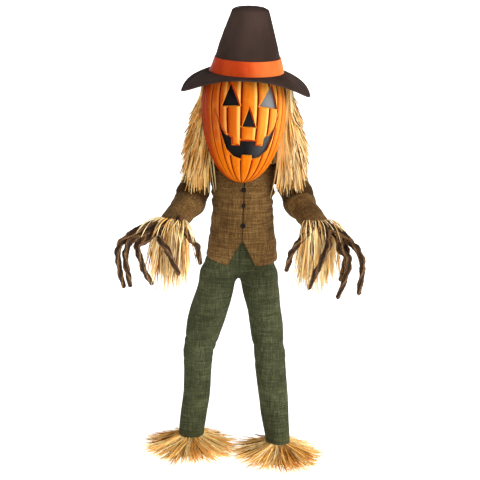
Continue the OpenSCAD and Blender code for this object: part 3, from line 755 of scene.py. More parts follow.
def jacket():
    """One strip of cloth that runs from the front edge round the back to the other front edge."""
    levels = resample(smooth_rows(JACKET_ROWS, 14), 4.0)
    u = np.linspace(0, 1, 190)[None, :]
    x, y, z, rx, ry = (c[:, None] for c in levels.T)
    open_half = V_HALF * np.clip((PLACKET_Z - z) / (PLACKET_Z - JACKET_HEM_Z), 0, 1) ** 0.85
    lap = 7 * ease((z - PLACKET_Z + 14) / 30)
    left_edge = -np.arccos(np.clip((FRONT_X + open_half - x) / rx, -1, 1))
    right_edge = -np.arccos(np.clip((FRONT_X - open_half + lap - x) / rx, -1, 1)) + 2 * math.pi
    a = left_edge + (right_edge - left_edge) * u
    cos, sin = np.cos(a), np.sin(a)
    points = np.stack([x + rx * cos, y + ry * sin, z + 0 * a], -1)
    out = unit(np.stack([cos / rx, sin / ry, 0 * a], -1))
    # the under lap goes behind the upper one, and the hem is rounded off at the front corners
    under = 3.4 * ease(1 - (1 - u) * GIRTH / LAP) * ease((z - PLACKET_Z + 6) / 12)
    corner = np.minimum(u, 1 - u) * GIRTH
    low = ease(1 - (z - JACKET_HEM_Z) / 40)
    points[..., 2] += low * 3 * np.clip(1 - corner / 14, 0, 1) ** 2
    points[..., 2] += low * cos**2 * np.where(cos < 0, 22, 10)
    # drape: upright folds near the hem, short rucks at the waist and under the arms
    drape = 2.6 * waves(points * (1, 1, 0.16), 74, 61) * ease((900 - z) / 160)
    ruck = 1.5 * waves(points * (0.6, 0.6, 1.3), 46, 63) * ease((1000 - z) / 60)
    under_arm = 2.2 * np.abs(cos) ** 6 * waves(points * (0.4, 0.4, 1.4), 32, 64) * bell(z - 900, 70)
    side_seam = -1.5 * bell(sin, 0.014) * ease((960 - z) / 30)
    back_seam = -1.5 * bell(cos, 0.016) * (sin > 0)
    hem_stitch = -0.9 * bell(z - JACKET_HEM_Z - 16, 1.8)
    flare = 3.5 * ease((JACKET_HEM_Z + 70 - z) / 70) * np.clip(1 - corner / 60, 0, 1)
    offset = drape + ruck + under_arm + side_seam + back_seam + hem_stitch - under - flare
    points = points + out * offset[..., None]
    obj = clean(thickened(clean(grid_object("jacket", points, TWEED)), JACKET_T), 60)
    x, y, z = millimetres(obj).T
    front = 0.95 * bell(x - FRONT_X, 2.0) * (y < 0) * (z > PLACKET_Z - 2)
    stitch = 0.35 * bell(np.abs(x - FRONT_X) - STITCH_X, 1.5) * (y < 0) * (z > PLACKET_Z)
    # painted shade: the cloth darkens towards the collar, where the head shades it
    collar_shade = 0.45 * ease((z - 930) / 70)
    return grain(attribute(obj, "seam", np.clip(front + stitch + collar_shade, 0, 1)))


JACKET = jacket()
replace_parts(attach(JACKET, "frame"), "jacket_body")

horn = Shader("button_horn", Roughness=0.4, Specular_IOR_Level=0.06)
swirl = horn.noise(horn.position(), 240.0, 3, 0.65)
horn.colour(horn.ramp(swirl, [(0.3, srgb(12, 10, 9)), (0.7, srgb(32, 28, 25))]))
horn.bump(swirl, 0.2, 0.2)

# Place across, height, distance to the front, and radius
BUTTONS = [(6.0, 938.0, 79.0, 8.0), (7.0, 887.0, 87.6, 6.4), (8.0, 821.0, 88.6, 8.0)]


def button(x, z, y, r):
    """A turned button with a raised rim, a dished middle and a crossed thread."""
    section = [[0, 0.4], [r * 0.8, 0.4], [r, 1.4], [r, 2.8], [r * 0.92, 3.7], [r * 0.8, 3.9],
               [r * 0.66, 3.1], [r * 0.3, 2.7], [0, 2.7]]

    def place(points):
        return turned(points, "X", 90) + (x, -y, z)

    parts = [revolve("button", section, 40, place, horn.material)]
    for turn in (45, 135):
        a = math.radians(turn)
        half = vec(math.cos(a), math.sin(a), 0) * 2.0
        arc = np.array([half * t + (0, 0, 2.7 + 0.9 * (1 - t * t)) for t in np.linspace(-1, 1, 9)])
        parts.append(loft("thread", place(sweep(arc, np.full(9, 0.45), 8)), STEEL))
    return parts


BUTTON_PIECE = grain(joined("jacket_buttons_turned", [p for b in BUTTONS for p in button(*b)]))
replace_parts(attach(BUTTON_PIECE, "frame"), "jacket_buttons")


# ---------------------------------------------------------------- straw

STRAW_TONES = np.array([srgb(*tone)[:3] for tone in (
    (255, 232, 180), (246, 202, 130), (228, 168, 88), (178, 120, 54), (112, 68, 28))])
# How much straw has each tone, and the dye over all of it
CREAM = [0.42, 0.26, 0.13, 0.10, 0.09], vec(1.0, 0.98, 0.92)
GOLDEN = [0.42, 0.28, 0.13, 0.09, 0.08], vec(1.08, 0.98, 0.76)
PALE = [0.48, 0.28, 0.12, 0.07, 0.05], vec(1.12, 1.13, 1.12)
TAWNY = [0.34, 0.42, 0.15, 0.05, 0.04], vec(1.13, 1.1, 0.92)


def strands(name, paths, width, look):
    """Folded ribbons of raffia along paths, an array of strands, points and coordinates."""
    count, steps = paths.shape[:2]
    along = unit(np.gradient(paths, axis=1))
    side = unit(np.cross(along, unit(rng.normal(size=(count, 1, 3)))))
    up = np.cross(along, side)
    t = np.linspace(0, 1, steps)
    taper = np.minimum(1, 0.65 + 2.2 * t) * np.minimum(1, 0.3 + 3.2 * (1 - t))
    w = (width * rng.uniform(0.62, 1.25, (count, 1)) * taper)[..., None]
    corners = np.stack([paths - side * w / 2, paths + side * w / 2, paths + up * w * 0.34], 2)
    base = np.arange(count)[:, None, None] * steps * 3
    i = np.arange(steps - 1)[None, :, None] * 3
    j = np.arange(3)[None, None, :]
    k = (j + 1) % 3
    quads = np.stack([base + i + j, base + i + k, base + i + 3 + k, base + i + 3 + j], -1)
    first = (np.arange(count) * steps * 3)[:, None]
    last = first + (steps - 1) * 3
    ends = np.vstack([first + [2, 1, 0], last + [0, 1, 2]])
    obj = new_object(name, corners.reshape(-1, 3), quads.reshape(-1, 4).tolist() + ends.tolist(),
                     RAFFIA)
    obj.data.polygons.foreach_set("use_smooth", np.zeros(len(obj.data.polygons), bool))
    shares, dye = look
    tone = STRAW_TONES[rng.choice(len(STRAW_TONES), count, p=shares)] * dye
    tone = tone * rng.uniform(0.7, 1.34, (count, 1))
    attribute(obj, "tone", np.repeat(tone, steps * 3, axis=0))
    # z runs along each strand, and x sets it apart from its neighbours
    s = np.zeros((count, steps, 3, 3))
    s[..., 0] = rng.uniform(0, 9, (count, 1, 1)) + (-0.001, 0.001, 0)
    s[..., 2] = np.linspace(0, 0.3, steps)[None, :, None]
    attribute(obj, "along", s.reshape(-1, 3))
    return obj


def falling(root, heading, length, stiffness, steps=9, wander=0.1):
    """Strands that leave root along heading and bend down under their weight."""
    count = len(root)
    step = (length / (steps - 1))[:, None]
    place, way = root.copy(), unit(heading)
    path = [place.copy()]
    drift = rng.normal(0, wander, (count, 3)) * (1, 1, 0.2)
    for _ in range(steps - 1):
        way = unit(way + (0, 0, -1) * step / stiffness[:, None] + drift * 0.3)
        place = place + way * step
        path.append(place.copy())
    return np.stack(path, 1)


# Half of the hair's plan, from its front edge round to the middle of the back
HAIR_LOW = np.array([[97, -64], [140, -70], [184, -60], [209, -26], [213, 14], [200, 58],
                     [166, 100], [105, 138], [0, 160]], float)
HAIR_TOP_Z, HAIR_LOW_Z = 1283.0, 930.0
HAIR_ROOT_R = 145.0
# Where the four short tiers end; the longest one follows HAIR_END, rows of way round and height
HAIR_TIERS = [1152, 1086, 1036, 994]
HAIR_END = [[0, 936], [0.16, 938], [0.3, 950], [0.45, 962], [0.7, 952], [1, 946]]
# Each tier's share of the strands, how far its tips flare, and how far it lies over the longest
TIER_SHARE = [0.14, 0.15, 0.16, 0.18, 0.37]
TIER_FLARE = [17, 18, 17, 15, 3]
TIER_OVER = [13, 10, 7, 4, 0]
# How far the hair stands out at the top and at the bottom
HAIR_OUT = {LEFT: (-6.0, -1.0), RIGHT: (-14.0, -17.0)}
# Where its front edge starts, as a share of the way round
HAIR_FRONT = {LEFT: 0.03, RIGHT: 0.035}


def hair_plan(u, z):
    """Where the hair hangs at height z, u of the way from the front edge to the back."""
    along = distance_along(HAIR_LOW)
    low = np.stack([np.interp(u, along / along[-1], column) for column in HAIR_LOW.T], -1)
    a = np.radians(-12 + 102 * u)
    top = HAIR_ROOT_R * np.stack([np.cos(a), np.sin(a)], -1)
    w = np.clip((HAIR_TOP_Z - z) / (HAIR_TOP_Z - HAIR_LOW_Z), 0, 1.15)[..., None] ** 1.12
    return top * (1 - w) + low * w


def hair(s, count, u_range, name, node):
    """Five ragged tiers of raffia that hang from under the brim and flare at their ends."""
    tier = rng.choice(len(TIER_SHARE), count, p=TIER_SHARE)
    u = rng.uniform(*u_range, count)
    full = np.interp(u, *np.array(HAIR_END).T)
    end = np.choose(tier, [level + 0 * full for level in HAIR_TIERS] + [full + 4])
    end = end + 30 * (u - 0.3) * (tier < len(HAIR_TIERS)) + rng.normal(0, 15, count)
    t = np.linspace(0, 1, 12)[None, :]
    z = HAIR_TOP_Z - 1 + (end[:, None] - HAIR_TOP_Z + 1) * t
    drift = rng.normal(0, 0.022, (count, 1)) * t
    plan = hair_plan(np.clip(u[:, None] + drift, 0, 1), z)
    out = unit(plan)
    flare = np.choose(tier, TIER_FLARE)[:, None] * t**4
    stray = (rng.random((count, 1)) < 0.1) * rng.uniform(4, 16, (count, 1)) * t**3
    layer = rng.uniform(-5, 6, (count, 1)) + np.choose(tier, TIER_OVER)[:, None] * t
    place = np.stack(np.broadcast_arrays(u[:, None] * 900, z * 0.8, tier[:, None] * 40), -1)
    sway = np.stack([waves(place + (axis * 70, 0, 0), 120, 70 + axis) for axis in (0, 1)], -1)
    sway = sway * (2 + 5 * t[..., None])
    stand = np.interp(z, [HAIR_LOW_Z, HAIR_TOP_Z], HAIR_OUT[s][::-1])
    plan = plan + out * (layer + flare + stray + stand)[..., None] + sway * 0.6
    path = np.concatenate([plan * (s, 1), z[..., None]], -1)
    path[:, 0, :2] *= 0.9
    path[:, 0, 2] += 5
    obj = strands(name, path, 6.0, CREAM if s == LEFT else GOLDEN)
    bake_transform(obj)
    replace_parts(obj, node)


for s in (LEFT, RIGHT):
    side_name = SIDE_NAME[s]
    hair(s, 1000, (HAIR_FRONT[s], 0.62), f"raffia_hair_{side_name}", f"hair_{side_name}")
    hair(s, 600, (0.6, 1.0), f"raffia_hair_back_{side_name}", "hair_back")


CUFF_HALF_WIDTH, CUFF_HALF_HEIGHT = 41.0, 18.0


def wrist_straw(s, count=330, over_hand=30):
    """Straw that leaves the flat cuff all round and hangs down, with some over the hand's back."""
    wrist = WRIST[s]
    ahead, side, up = arm_axes(s)
    a = rng.uniform(0, 2 * math.pi, count)[:, None]
    rim = CUFF_HALF_WIDTH * np.cos(a) * side + CUFF_HALF_HEIGHT * np.sin(a) * up
    past_wrist = CUFF_PAST_WRIST + CUFF_SLANT * np.sin(a) - rng.uniform(8, 16, (count, 1))
    root = wrist + ahead * past_wrist + rim
    heading = ahead * rng.uniform(0.4, 1.15, (count, 1))
    heading = heading + rim / CUFF_HALF_WIDTH * rng.uniform(0.1, 0.5, (count, 1))
    fall = rng.uniform(165, 236, count) + np.sin(a[:, 0]) * 14 - 62 * np.cos(a[:, 0]) ** 4
    hanging = falling(root, heading, fall, rng.uniform(15, 34, count), wander=0.24)
    spread = rng.uniform(-1, 1, (over_hand, 1))
    root = wrist + ahead * (CUFF_PAST_WRIST + CUFF_SLANT - 12)
    root = root + spread * (CUFF_HALF_WIDTH - 1) * side + (CUFF_HALF_HEIGHT + 1) * up
    heading = ahead + 0.5 * up + (0.75 * spread + rng.normal(0, 0.25, (over_hand, 1))) * side
    lying = falling(root, heading, rng.uniform(45, 115, over_hand), rng.uniform(50, 85, over_hand))
    path = np.concatenate([hanging, lying])
    obj = strands(f"straw_wrist_{SIDE_NAME[s]}", path, 3.9, PALE)
    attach(obj, f"hand_{SIDE_NAME[s]}")
    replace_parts(obj, f"wrist_straw_{SIDE_NAME[s]}")


ANKLE_R = 32.0
# Lowest height of a strand's middle above the floor
LOWEST_Z = 3.2


def ankle_straw(s, count=860):
    """A fan of straw that leaves the hem all round and comes down to the floor."""
    hem = vec(LEG[s][0][0], -s * STRIDE, LEG[s][0][2] + 8)
    a = rng.uniform(0, 2 * math.pi, count)
    out = around(a)
    off = around(a + rng.normal(0, 0.36, count))
    lift = rng.random(count) ** 1.5
    reach = rng.uniform(92, 162, count) - 14 * (lift < 0.1) + 24 * np.clip(-out[:, 1], 0, 1)
    t = np.linspace(0, 1, 9)[None, :]
    past_hem = (reach[:, None] - 26) * t
    end_z = LOWEST_Z + (30 - 14 * out[:, 1:2]) * lift[:, None] * rng.uniform(0.4, 1.0, (count, 1))
    power = 1.05 + 1.5 * (1 - lift[:, None])
    z = end_z + (hem[2] - end_z) * (1 - t) ** power
    bend = rng.normal(0, 16, (count, 1)) * t**2
    path = hem * (1, 1, 0) + out[:, None] * ANKLE_R + off[:, None] * past_hem[..., None]
    path += np.cross((0, 0, 1), out)[:, None] * bend[..., None]
    path[..., 2] = np.maximum(z + 3 * np.sin(t * 5 + a[:, None]) * t * (1 - t), LOWEST_Z)
    obj = strands(f"straw_ankle_{SIDE_NAME[s]}", path, 4.0, TAWNY)
    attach(obj, "frame")
    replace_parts(obj, f"ankle_straw_{SIDE_NAME[s]}")


for s in (LEFT, RIGHT):
    wrist_straw(s)
    ankle_straw(s)


# ---------------------------------------------------------------- hands

# Joints of the fingers from the palm to the tip, as out, back and up from the wrist
FINGERS = {
    LEFT: {
        "thumb": [[-15, -45, -11], [-38, -65, -35], [-57, -75, -55], [-72, -75, -83],
                  [-79, -68, -113], [-86, -58, -148]],
        "index_finger": [[39, -55, -23], [42, -88, -50], [27, -98, -86], [9, -88, -134],
                         [-14, -70, -200]],
        "middle_finger": [[70, -55, -23], [79, -85, -62], [104, -98, -85], [106, -98, -116],
                          [97, -88, -162], [80, -70, -228]],
        "ring_finger": [[88, -42, -40], [100, -60, -72], [99, -66, -106], [94, -58, -142],
                        [87, -46, -176]],
        "little_finger": [[103, -55, -37], [128, -85, -56], [147, -98, -89], [151, -98, -120],
                          [148, -88, -170], [146, -70, -212]],
    },
    RIGHT: {
        "thumb": [[-21, -45, 8], [-38, -65, -15], [-58, -75, -40], [-78, -75, -61],
                  [-84, -68, -88], [-89, -58, -124]],
        "index_finger": [[48, -55, -19], [34, -88, -44], [13, -98, -71], [-7, -88, -114],
                         [-24, -70, -158]],
        "middle_finger": [[82, -55, -48], [108, -85, -64], [101, -98, -88], [87, -98, -131],
                          [73, -88, -163], [59, -70, -192]],
        "ring_finger": [[105, -56, -42], [135, -86, -55], [143, -98, -86], [139, -100, -131],
                        [132, -90, -164], [128, -72, -201]],
        "little_finger": [[127, -52, -34], [160, -85, -54], [167, -98, -82], [165, -98, -114],
                          [159, -88, -155], [148, -70, -206]],
    },
}


# Radius of a finger's first joint, how much thinner its tip is, and the spacing of its rings
FINGER_R, FINGER_TAPER, FINGER_STEP = 11.6, 3.6, 2.2


def from_wrist(s, point):
    """A point given as out, back and up from the wrist, on the figure's axis."""
    return WRIST[s] + vec(s, 1, 1) * point


def bark_rings(rows, sides, seed):
    """Rings of a knotty twig along rows of x, y, z and radius, and how high its ridges stand."""
    run = distance_along(rows[:, :3])[:, None]
    a = full_turn(sides)[None, :]
    wound = a + run * 0.026 * (1 if seed % 2 else -1) + 1.7 * seed
    ridge = 0.5 + 0.5 * np.sin(3 * wound + 0.8 * np.sin(run * 0.05 + seed))
    fine = 0.5 + 0.5 * np.sin(8 * wound + run * 0.09 + seed)
    height = 0.72 * ridge**1.5 + 0.28 * fine
    relief = 0.8 + 0.34 * height + 0.03 * np.sin(run * 0.42 + 2 * a)
    return sweep(rows[:, :3], rows[:, 3], sides, relief), height


def finger(s, name, joints, seed):
    """A twig that swells at each joint, with ridges that wind round it."""
    joints = np.array([from_wrist(s, j) for j in joints])
    joints = np.vstack([joints[0] - (joints[1] - joints[0]) * 0.35, joints])
    last = len(joints) - 1
    rows = []
    for i, joint in enumerate(joints):
        base = FINGER_R - FINGER_TAPER * i / last
        rows.append([*joint, base * (1.13 if 0 < i < last else 0.95)])
        if i < last:
            rows.append([*(joint + joints[i + 1]) / 2, base * 0.86])
    rows = resample(smooth_rows(rows, 8), FINGER_STEP)
    distance = np.arange(len(rows)) * FINGER_STEP
    rows[:, 3] *= np.sqrt(np.clip((distance[-1] - distance) / 7, 0.02, 1))
    rows[:, 3] *= np.sqrt(np.clip((distance + 1) / 6, 0, 1))
    rings, height = bark_rings(rows, 26, seed)
    obj = loft(name, rings, BARK)
    height = np.append(height.ravel(), [0.5, 0.5])
    attribute(obj, "ridge", height[: len(obj.data.vertices)])
    return grain(obj, joints[-1] - joints[1])


def palm(s):
    """Twisted roots that leave the cuff side by side and run on into the fingers."""
    wrist, ahead = WRIST[s], arm_direction(s)
    parts, sources, heights = [], [], []
    for i, joints in enumerate(FINGERS[s].values()):
        base, knuckle = from_wrist(s, joints[0]), from_wrist(s, joints[1])
        start = wrist - ahead * 22 + (s * (i - 2) * 9, 0, 0)
        middle = (start + ahead * 26 + base) / 2 + vec(0, -3, 10)
        rows = resample(smooth_rows([
            [*start, 12], [*(start + ahead * 26), 13.5], [*middle, 13.5], [*base, 12.5],
            [*(base * 0.5 + knuckle * 0.5), 10.5], [*(base * 0.2 + knuckle * 0.8), 5]], 8), 2.5)
        rings, height = bark_rings(rows, 30, i + 11)
        parts.append(loft("root", rings))
        sources.append(rings.reshape(-1, 3))
        heights.append(height.ravel())
    # the block behind the roots: rows of along the arm, out, up and radius
    hub = [[*(wrist + ahead * along + (s * out, 0, up)), radius] for along, out, up, radius in (
        (-20, 0, 0, 17), (8, 0, 0, 19), (34, 16, -9, 16), (50, 28, -18, 8))]
    hub = resample(smooth_rows(hub, 8), 3)
    parts.append(loft("root", sweep(hub[:, :3], hub[:, 3], 26)))
    obj = remeshed(joined(f"palm_bark_{SIDE_NAME[s]}", parts), 2.2)
    obj.data.materials.append(BARK)
    sources, heights = np.concatenate(sources), np.concatenate(heights)
    tree = point_tree(sources)
    attribute(obj, "ridge", [heights[tree.find(point)[1]] for point in millimetres(obj)])
    return grain(obj, ahead)


for s in (LEFT, RIGHT):
    side_name = SIDE_NAME[s]
    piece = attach(palm(s), f"hand_{side_name}")
    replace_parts(piece, f"palm_{side_name}")
    for seed, (name, joints) in enumerate(FINGERS[s].items(), start=3):
        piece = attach(finger(s, f"{name}_bark_{side_name}", joints, seed + s),
                        f"hand_{side_name}")
        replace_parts(piece, f"{name}_{side_name}")


# ---------------------------------------------------------------- head

GROOVES = np.radians([-79, -58.5, -43.5, -31, -11.5, 11.5, 30, 46, 60, 76])
RIB_EDGES = np.concatenate([[-math.radians(106)], GROOVES, [math.radians(96)]])
MASK_TOP_IN_HAT = -7.0
# How far the skin's inside, the liner, the hood and the foam lie inside the head's egg
SKIN_T, LINER_INSET, HOOD_INSET, FOAM_INSET = 7.6, 9.2, 1.0, 12.0


def egg_point(phi, a, inset=0.0, swell=0.0):
    """A point on the head's egg, phi round from the front and a up from its widest level."""
    r = (MASK_R - inset) * np.cos(a) + swell
    h = np.where(a < 0, MASK_DROP, MASK_RISE) - inset
    return np.stack([r * np.sin(phi), -r * np.cos(phi), h * np.sin(a) + 0 * phi], -1)


def highest(phi, inset):
    """The angle up the egg at which it meets the hat, for each phi, found by halving."""
    low, high = np.zeros_like(phi), np.full_like(phi, math.pi / 2)
    for _ in range(30):
        middle = (low + high) / 2
        under = to_hat(from_head(egg_point(phi, middle, inset)))[..., 2] < MASK_TOP_IN_HAT
        low, high = np.where(under, middle, low), np.where(under, high, middle)
    return low


def egg_rows(phi, rows, low, inset=0.0):
    """Angles up the egg, row by row from low to the hat, for each phi."""
    top = highest(phi, inset)
    return low + (top - low) * np.linspace(0, 1, rows)[:, None]


def rib_height(phi, a):
    """How far the skin stands out between two grooves."""
    i = np.clip(np.searchsorted(RIB_EDGES, phi) - 1, 0, len(RIB_EDGES) - 2)
    t = (phi - RIB_EDGES[i]) / (RIB_EDGES[i + 1] - RIB_EDGES[i])
    return (7.0 * np.sin(np.pi * np.clip(t, 0, 1)) ** 0.5 - 4.6) * np.cos(a) ** 0.6


def offset_outline(outline, d):
    """A closed outline of [x, z] points moved outward by d."""
    before, after = np.roll(outline, 1, 0), np.roll(outline, -1, 0)
    n1 = unit(outline - before)[:, ::-1] * (1, -1)
    n2 = unit(after - outline)[:, ::-1] * (1, -1)
    middle = unit(n1 + n2)
    return outline + middle * (d / np.clip((middle * n1).sum(1), 0.45, 1))[:, None]


def fine_outline(outline, pieces):
    """The outline with each of its edges cut into that many pieces."""
    made = []
    for a, b, n in zip(outline, np.roll(outline, -1, 0), pieces):
        made += [a + (b - a) * k / n for k in range(n)]
    return np.array(made)


def mirrored(points):
    return [[-x, z] for x, z in reversed(points)]


LEFT_EYE = [[71, 57], [32, -11], [90, -14]]
RIGHT_EYE = [[-57, 57], [-82, -12], [-32, -11]]
NOSE = [[-1, -21], [-20, -76], [20, -76]]
HALF_MOUTH = [[100, -31], [85, -76], [70, -99], [52, -109], [49, -133], [24, -134], [24, -120]]
HALF_JAW = [[16, -162], [18, -173], [40, -167], [62, -145], [77, -107]]
MOUTH = HALF_MOUTH + mirrored(HALF_MOUTH) + mirrored(HALF_JAW) + HALF_JAW
OPENINGS = [np.array(outline, float) for outline in (LEFT_EYE, RIGHT_EYE, NOSE, MOUTH)]
BEVEL = 4.0


def cutter(outline):
    """A plug that widens towards the outside, so that it leaves a bevelled edge."""
    if np.cross(outline, np.roll(outline, -1, 0)).sum() < 0:
        outline = outline[::-1]
    rings = []
    edges = np.linalg.norm(np.roll(outline, -1, 0) - outline, axis=1)
    pieces = np.maximum(1, edges / 4).astype(int)
    sharp = fine_outline(outline, pieces)
    moved = fine_outline(offset_outline(outline, 1.0), pieces) - sharp
    for depth, d in ((-26, 2.6 * BEVEL), (-1.5, BEVEL), (7.5, 0.0), (40, 0.0)):
        ring = sharp + moved * d
        h = np.where(ring[:, 1] < 0, MASK_DROP, MASK_RISE)
        inside = np.clip(1 - (sharp[:, 0] / MASK_R) ** 2 - (sharp[:, 1] / h) ** 2, 0.02, 1)
        y = -MASK_R * np.sqrt(inside) + depth
        rings.append(np.stack([ring[:, 0], y, ring[:, 1]], -1))
    n = len(sharp)
    points = np.concatenate(rings)
    faces = grid_faces(len(rings), n).tolist()
    for ring, flip in ((0, 1), (len(rings) - 1, -1)):
        flat = [Vector((p[0], p[2], 0)) for p in rings[ring]]
        faces += [[ring * n + i for i in triangle][::flip]
                  for triangle in tessellate_polygon([flat])]
    return clean(new_object("cutter", from_head(points), faces))


def pumpkin_material():
    """Airbrushed pumpkin skin with dark grooves; a pale strip on one flank of each groove is painted
    highlight where the rib faces the key light, and red on the other flank is painted shade.
    """
    s = Shader("pumpkin_skin", Specular_IOR_Level=0.015)
    at = s.position()
    cloud = s.noise(at, 26.0, 4, 0.6)
    spray = s.streaks(s.read("grain")["Vector"], (220, 220, 16), 3, 0.6)
    # partly a redder paint and partly painted shade: the skin is red towards the figure's right, away
    # from the key light, and lighter orange towards its lit left
    across = s.ramp(s.read("side")["Fac"], [
        (0.0, srgb(172, 62, 10)), (0.3, srgb(198, 90, 14)), (0.5, srgb(210, 110, 20)),
        (0.75, srgb(232, 152, 56)), (1.0, srgb(218, 128, 44))])
    base = s.mix(s.read("chin")["Fac"], across, srgb(220, 112, 4))
    mottle = s.math("ADD", s.span(cloud, 0.3, 0.7, 0.0, 0.6), s.span(spray, 0.3, 0.7, 0.0, 0.4))
    base = s.mix(s.span(mottle, 0.5, 1.0, 0.0, 0.3), base, srgb(252, 178, 70))
    base = s.mix(s.span(mottle, 0.5, 0.0, 0.0, 0.3), base, srgb(196, 72, 14))
    from_groove = s.span(s.read("groove")["Fac"], -16, 16)
    # painted highlight in a pale strip on the flank of each groove that faces the key light, and
    # painted shade in red on the flank turned away
    pale = s.ramp(from_groove, flank_stops((-15, 0.0), (-9, 0.6), (-4.5, 0.75), (-2.5, 0.0)))
    red = s.ramp(from_groove, flank_stops((-3.5, 0.0), (0, 0.95), (5, 0.6), (14, 0.0)))
    line = s.ramp(from_groove, flank_stops((-3.4, 0.0), (-1.9, 1.0), (1.9, 1.0), (4.2, 0.0)))
    # the painted highlight strips are mixed in as strongly as the highlight strength attribute says
    skin = s.mix(s.math("MULTIPLY", pale, s.read("highlight_strength")["Fac"]), base, srgb(255, 202, 104))
    skin = s.mix(red, skin, srgb(184, 54, 10))
    skin = s.mix(s.math("MULTIPLY", line, s.span(cloud, 0.25, 0.6, 0.7, 1.0)), skin,
                 srgb(84, 18, 6))
    # painted shade: the mask's rims darken to deep red where its "edge" attribute says so
    s.colour(s.mix(s.read("edge")["Fac"], skin, srgb(148, 42, 4)))
    s.rough(s.span(cloud, 0.3, 0.7, 0.4, 0.54))
    s.bump(s.math("ADD", spray, s.noise(at, 420.0, 2)), 0.3, 0.5)
    return s.material


def flank_stops(*stops):
    """Ramp stops from pairs of millimetres past a groove, within 16 of it, and strength."""
    return [((past + 16) / 32, (strength, strength, strength, 1)) for past, strength in stops]


def cut_material(name, a, b):
    """Plain paint, cloudy between two colours, for the walls of the openings."""
    s = Shader(name, Roughness=0.5, Specular_IOR_Level=0.15)
    at = s.position()
    s.colour(s.mix(s.noise(at, 60.0, 3), a, b))
    s.bump(s.noise(at, 300.0, 2), 0.3, 0.3)
    return s.material


def mask():
    """The ribbed shell with its openings cut, and the values its material reads."""
    columns, rows = 260, 190
    phi = np.linspace(-math.pi / 2, math.pi / 2, columns)[None, :]
    a = egg_rows(phi, rows, -math.pi / 2)
    outer = egg_point(phi, a, 0, rib_height(phi, a))
    outer[0] = (0, 0, -MASK_DROP)
    inner = egg_point(phi, a, SKIN_T)
    inner[0] = (0, 0, -MASK_DROP + SKIN_T)
    n = rows * columns
    faces = np.vstack([grid_faces(rows, columns, False),
                       grid_faces(rows, columns, False, n)[:, ::-1]]).tolist()
    for i in range(rows - 1):
        for j in (0, columns - 1):
            faces.append([i * columns + j, (i + 1) * columns + j, n + (i + 1) * columns + j,
                          n + i * columns + j])
    for j in range(columns - 1):
        k = (rows - 1) * columns + j
        faces.append([k, k + 1, n + k + 1, n + k])
    points = from_head(np.concatenate([outer, inner])).reshape(-1, 3)
    # the two paints for the walls of the openings are painted light in yellow and painted shade in
    # red
    obj = clean(new_object("mask", points, faces, pumpkin_material(),
                           cut_material("cut_wall_lit_paint", srgb(246, 164, 42), srgb(232, 136, 30)),
                           cut_material("cut_wall_shaded_paint", srgb(204, 66, 14), srgb(170, 46, 10))))
    plugs = joined("plugs", [cutter(outline) for outline in OPENINGS])
    cut = obj.modifiers.new("openings", "BOOLEAN")
    cut.operation, cut.solver, cut.object = "DIFFERENCE", "EXACT", plugs
    applied(obj)
    bpy.data.objects.remove(plugs)
    clean(obj, 32)

    local = to_head(millimetres(obj))
    x, y, z = local.T
    angle = np.arctan2(x, -y)
    radius = np.hypot(x, y)
    nearest = GROOVES[np.abs(angle[:, None] - GROOVES[None, :]).argmin(1)]
    # grooves thin out with the ribs towards the chin
    signed = (angle - nearest) * radius * np.interp(radius, [0, 60, 130], [3.0, 1.7, 1.0])
    signed *= 1 + 0.6 * ease((np.abs(angle) - 0.45) / 0.8)
    attribute(obj, "groove", signed)
    # painted shade on the rims, stronger on the figure's right, away from the key light
    attribute(obj, "edge", ease((-angle - 0.98) / 0.3) * 0.9 + ease((angle - 1.35) / 0.3) * 0.4)
    # 0 at the figure's right and 1 at its left, for the red to orange change that is partly painted
    # shade
    attribute(obj, "side", 0.5 + 0.5 * x / MASK_R)
    # how strong the painted highlight strips are: weaker on the flank away from the key light and on
    # the jaw
    flank, jaw = ease((-angle - 0.3) / 0.5), ease((-z - 90) / 60)
    attribute(obj, "highlight_strength", (1 - 0.75 * flank) * (1 - 0.85 * jaw))
    attribute(obj, "chin", 0.85 * ease((-z - 80) / 90))
    attribute(obj, "grain", coordinates(obj))
    paint_cuts(obj)
    return obj


def paint_cuts(obj):
    """The walls of the openings: yellow on the left and below, as painted light where they face the
    key light or up, and red on the right and above, as painted shade.
    """
    turn = np.array([from_head(row) - from_head((0, 0, 0)) for row in np.eye(3)])
    for polygon in obj.data.polygons:
        centre = to_head(np.array(polygon.center) / MM - (0, AXIS_Y, 0))
        on_egg = centre / (MASK_R, MASK_R, MASK_DROP if centre[2] < 0 else MASK_RISE)
        in_skin = 0.955 < np.linalg.norm(on_egg) < 1.03 and centre[1] < -45
        normal = turn @ np.array(polygon.normal)
        wall = abs(normal @ unit(on_egg)) < 0.86
        if wall and in_skin and near_opening(centre[0], centre[2]):
            # painted light on walls that face the key light or up, painted shade on the rest
            polygon.material_index = 1 if normal[0] > 0.25 or normal[2] > 0.6 else 2


def near_opening(x, z):
    """True within the bevel of an opening's outline."""
    for outline in OPENINGS:
        b = np.roll(outline, -1, 0) - outline
        p = np.array([x, z]) - outline
        t = np.clip((p * b).sum(1) / (b * b).sum(1), 0, 1)
        if np.linalg.norm(p - b * t[:, None], axis=1).min() < BEVEL + 1.6:
            return True
    return False


MASK = mask()
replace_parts(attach(MASK, "head"), "pumpkin_mask")


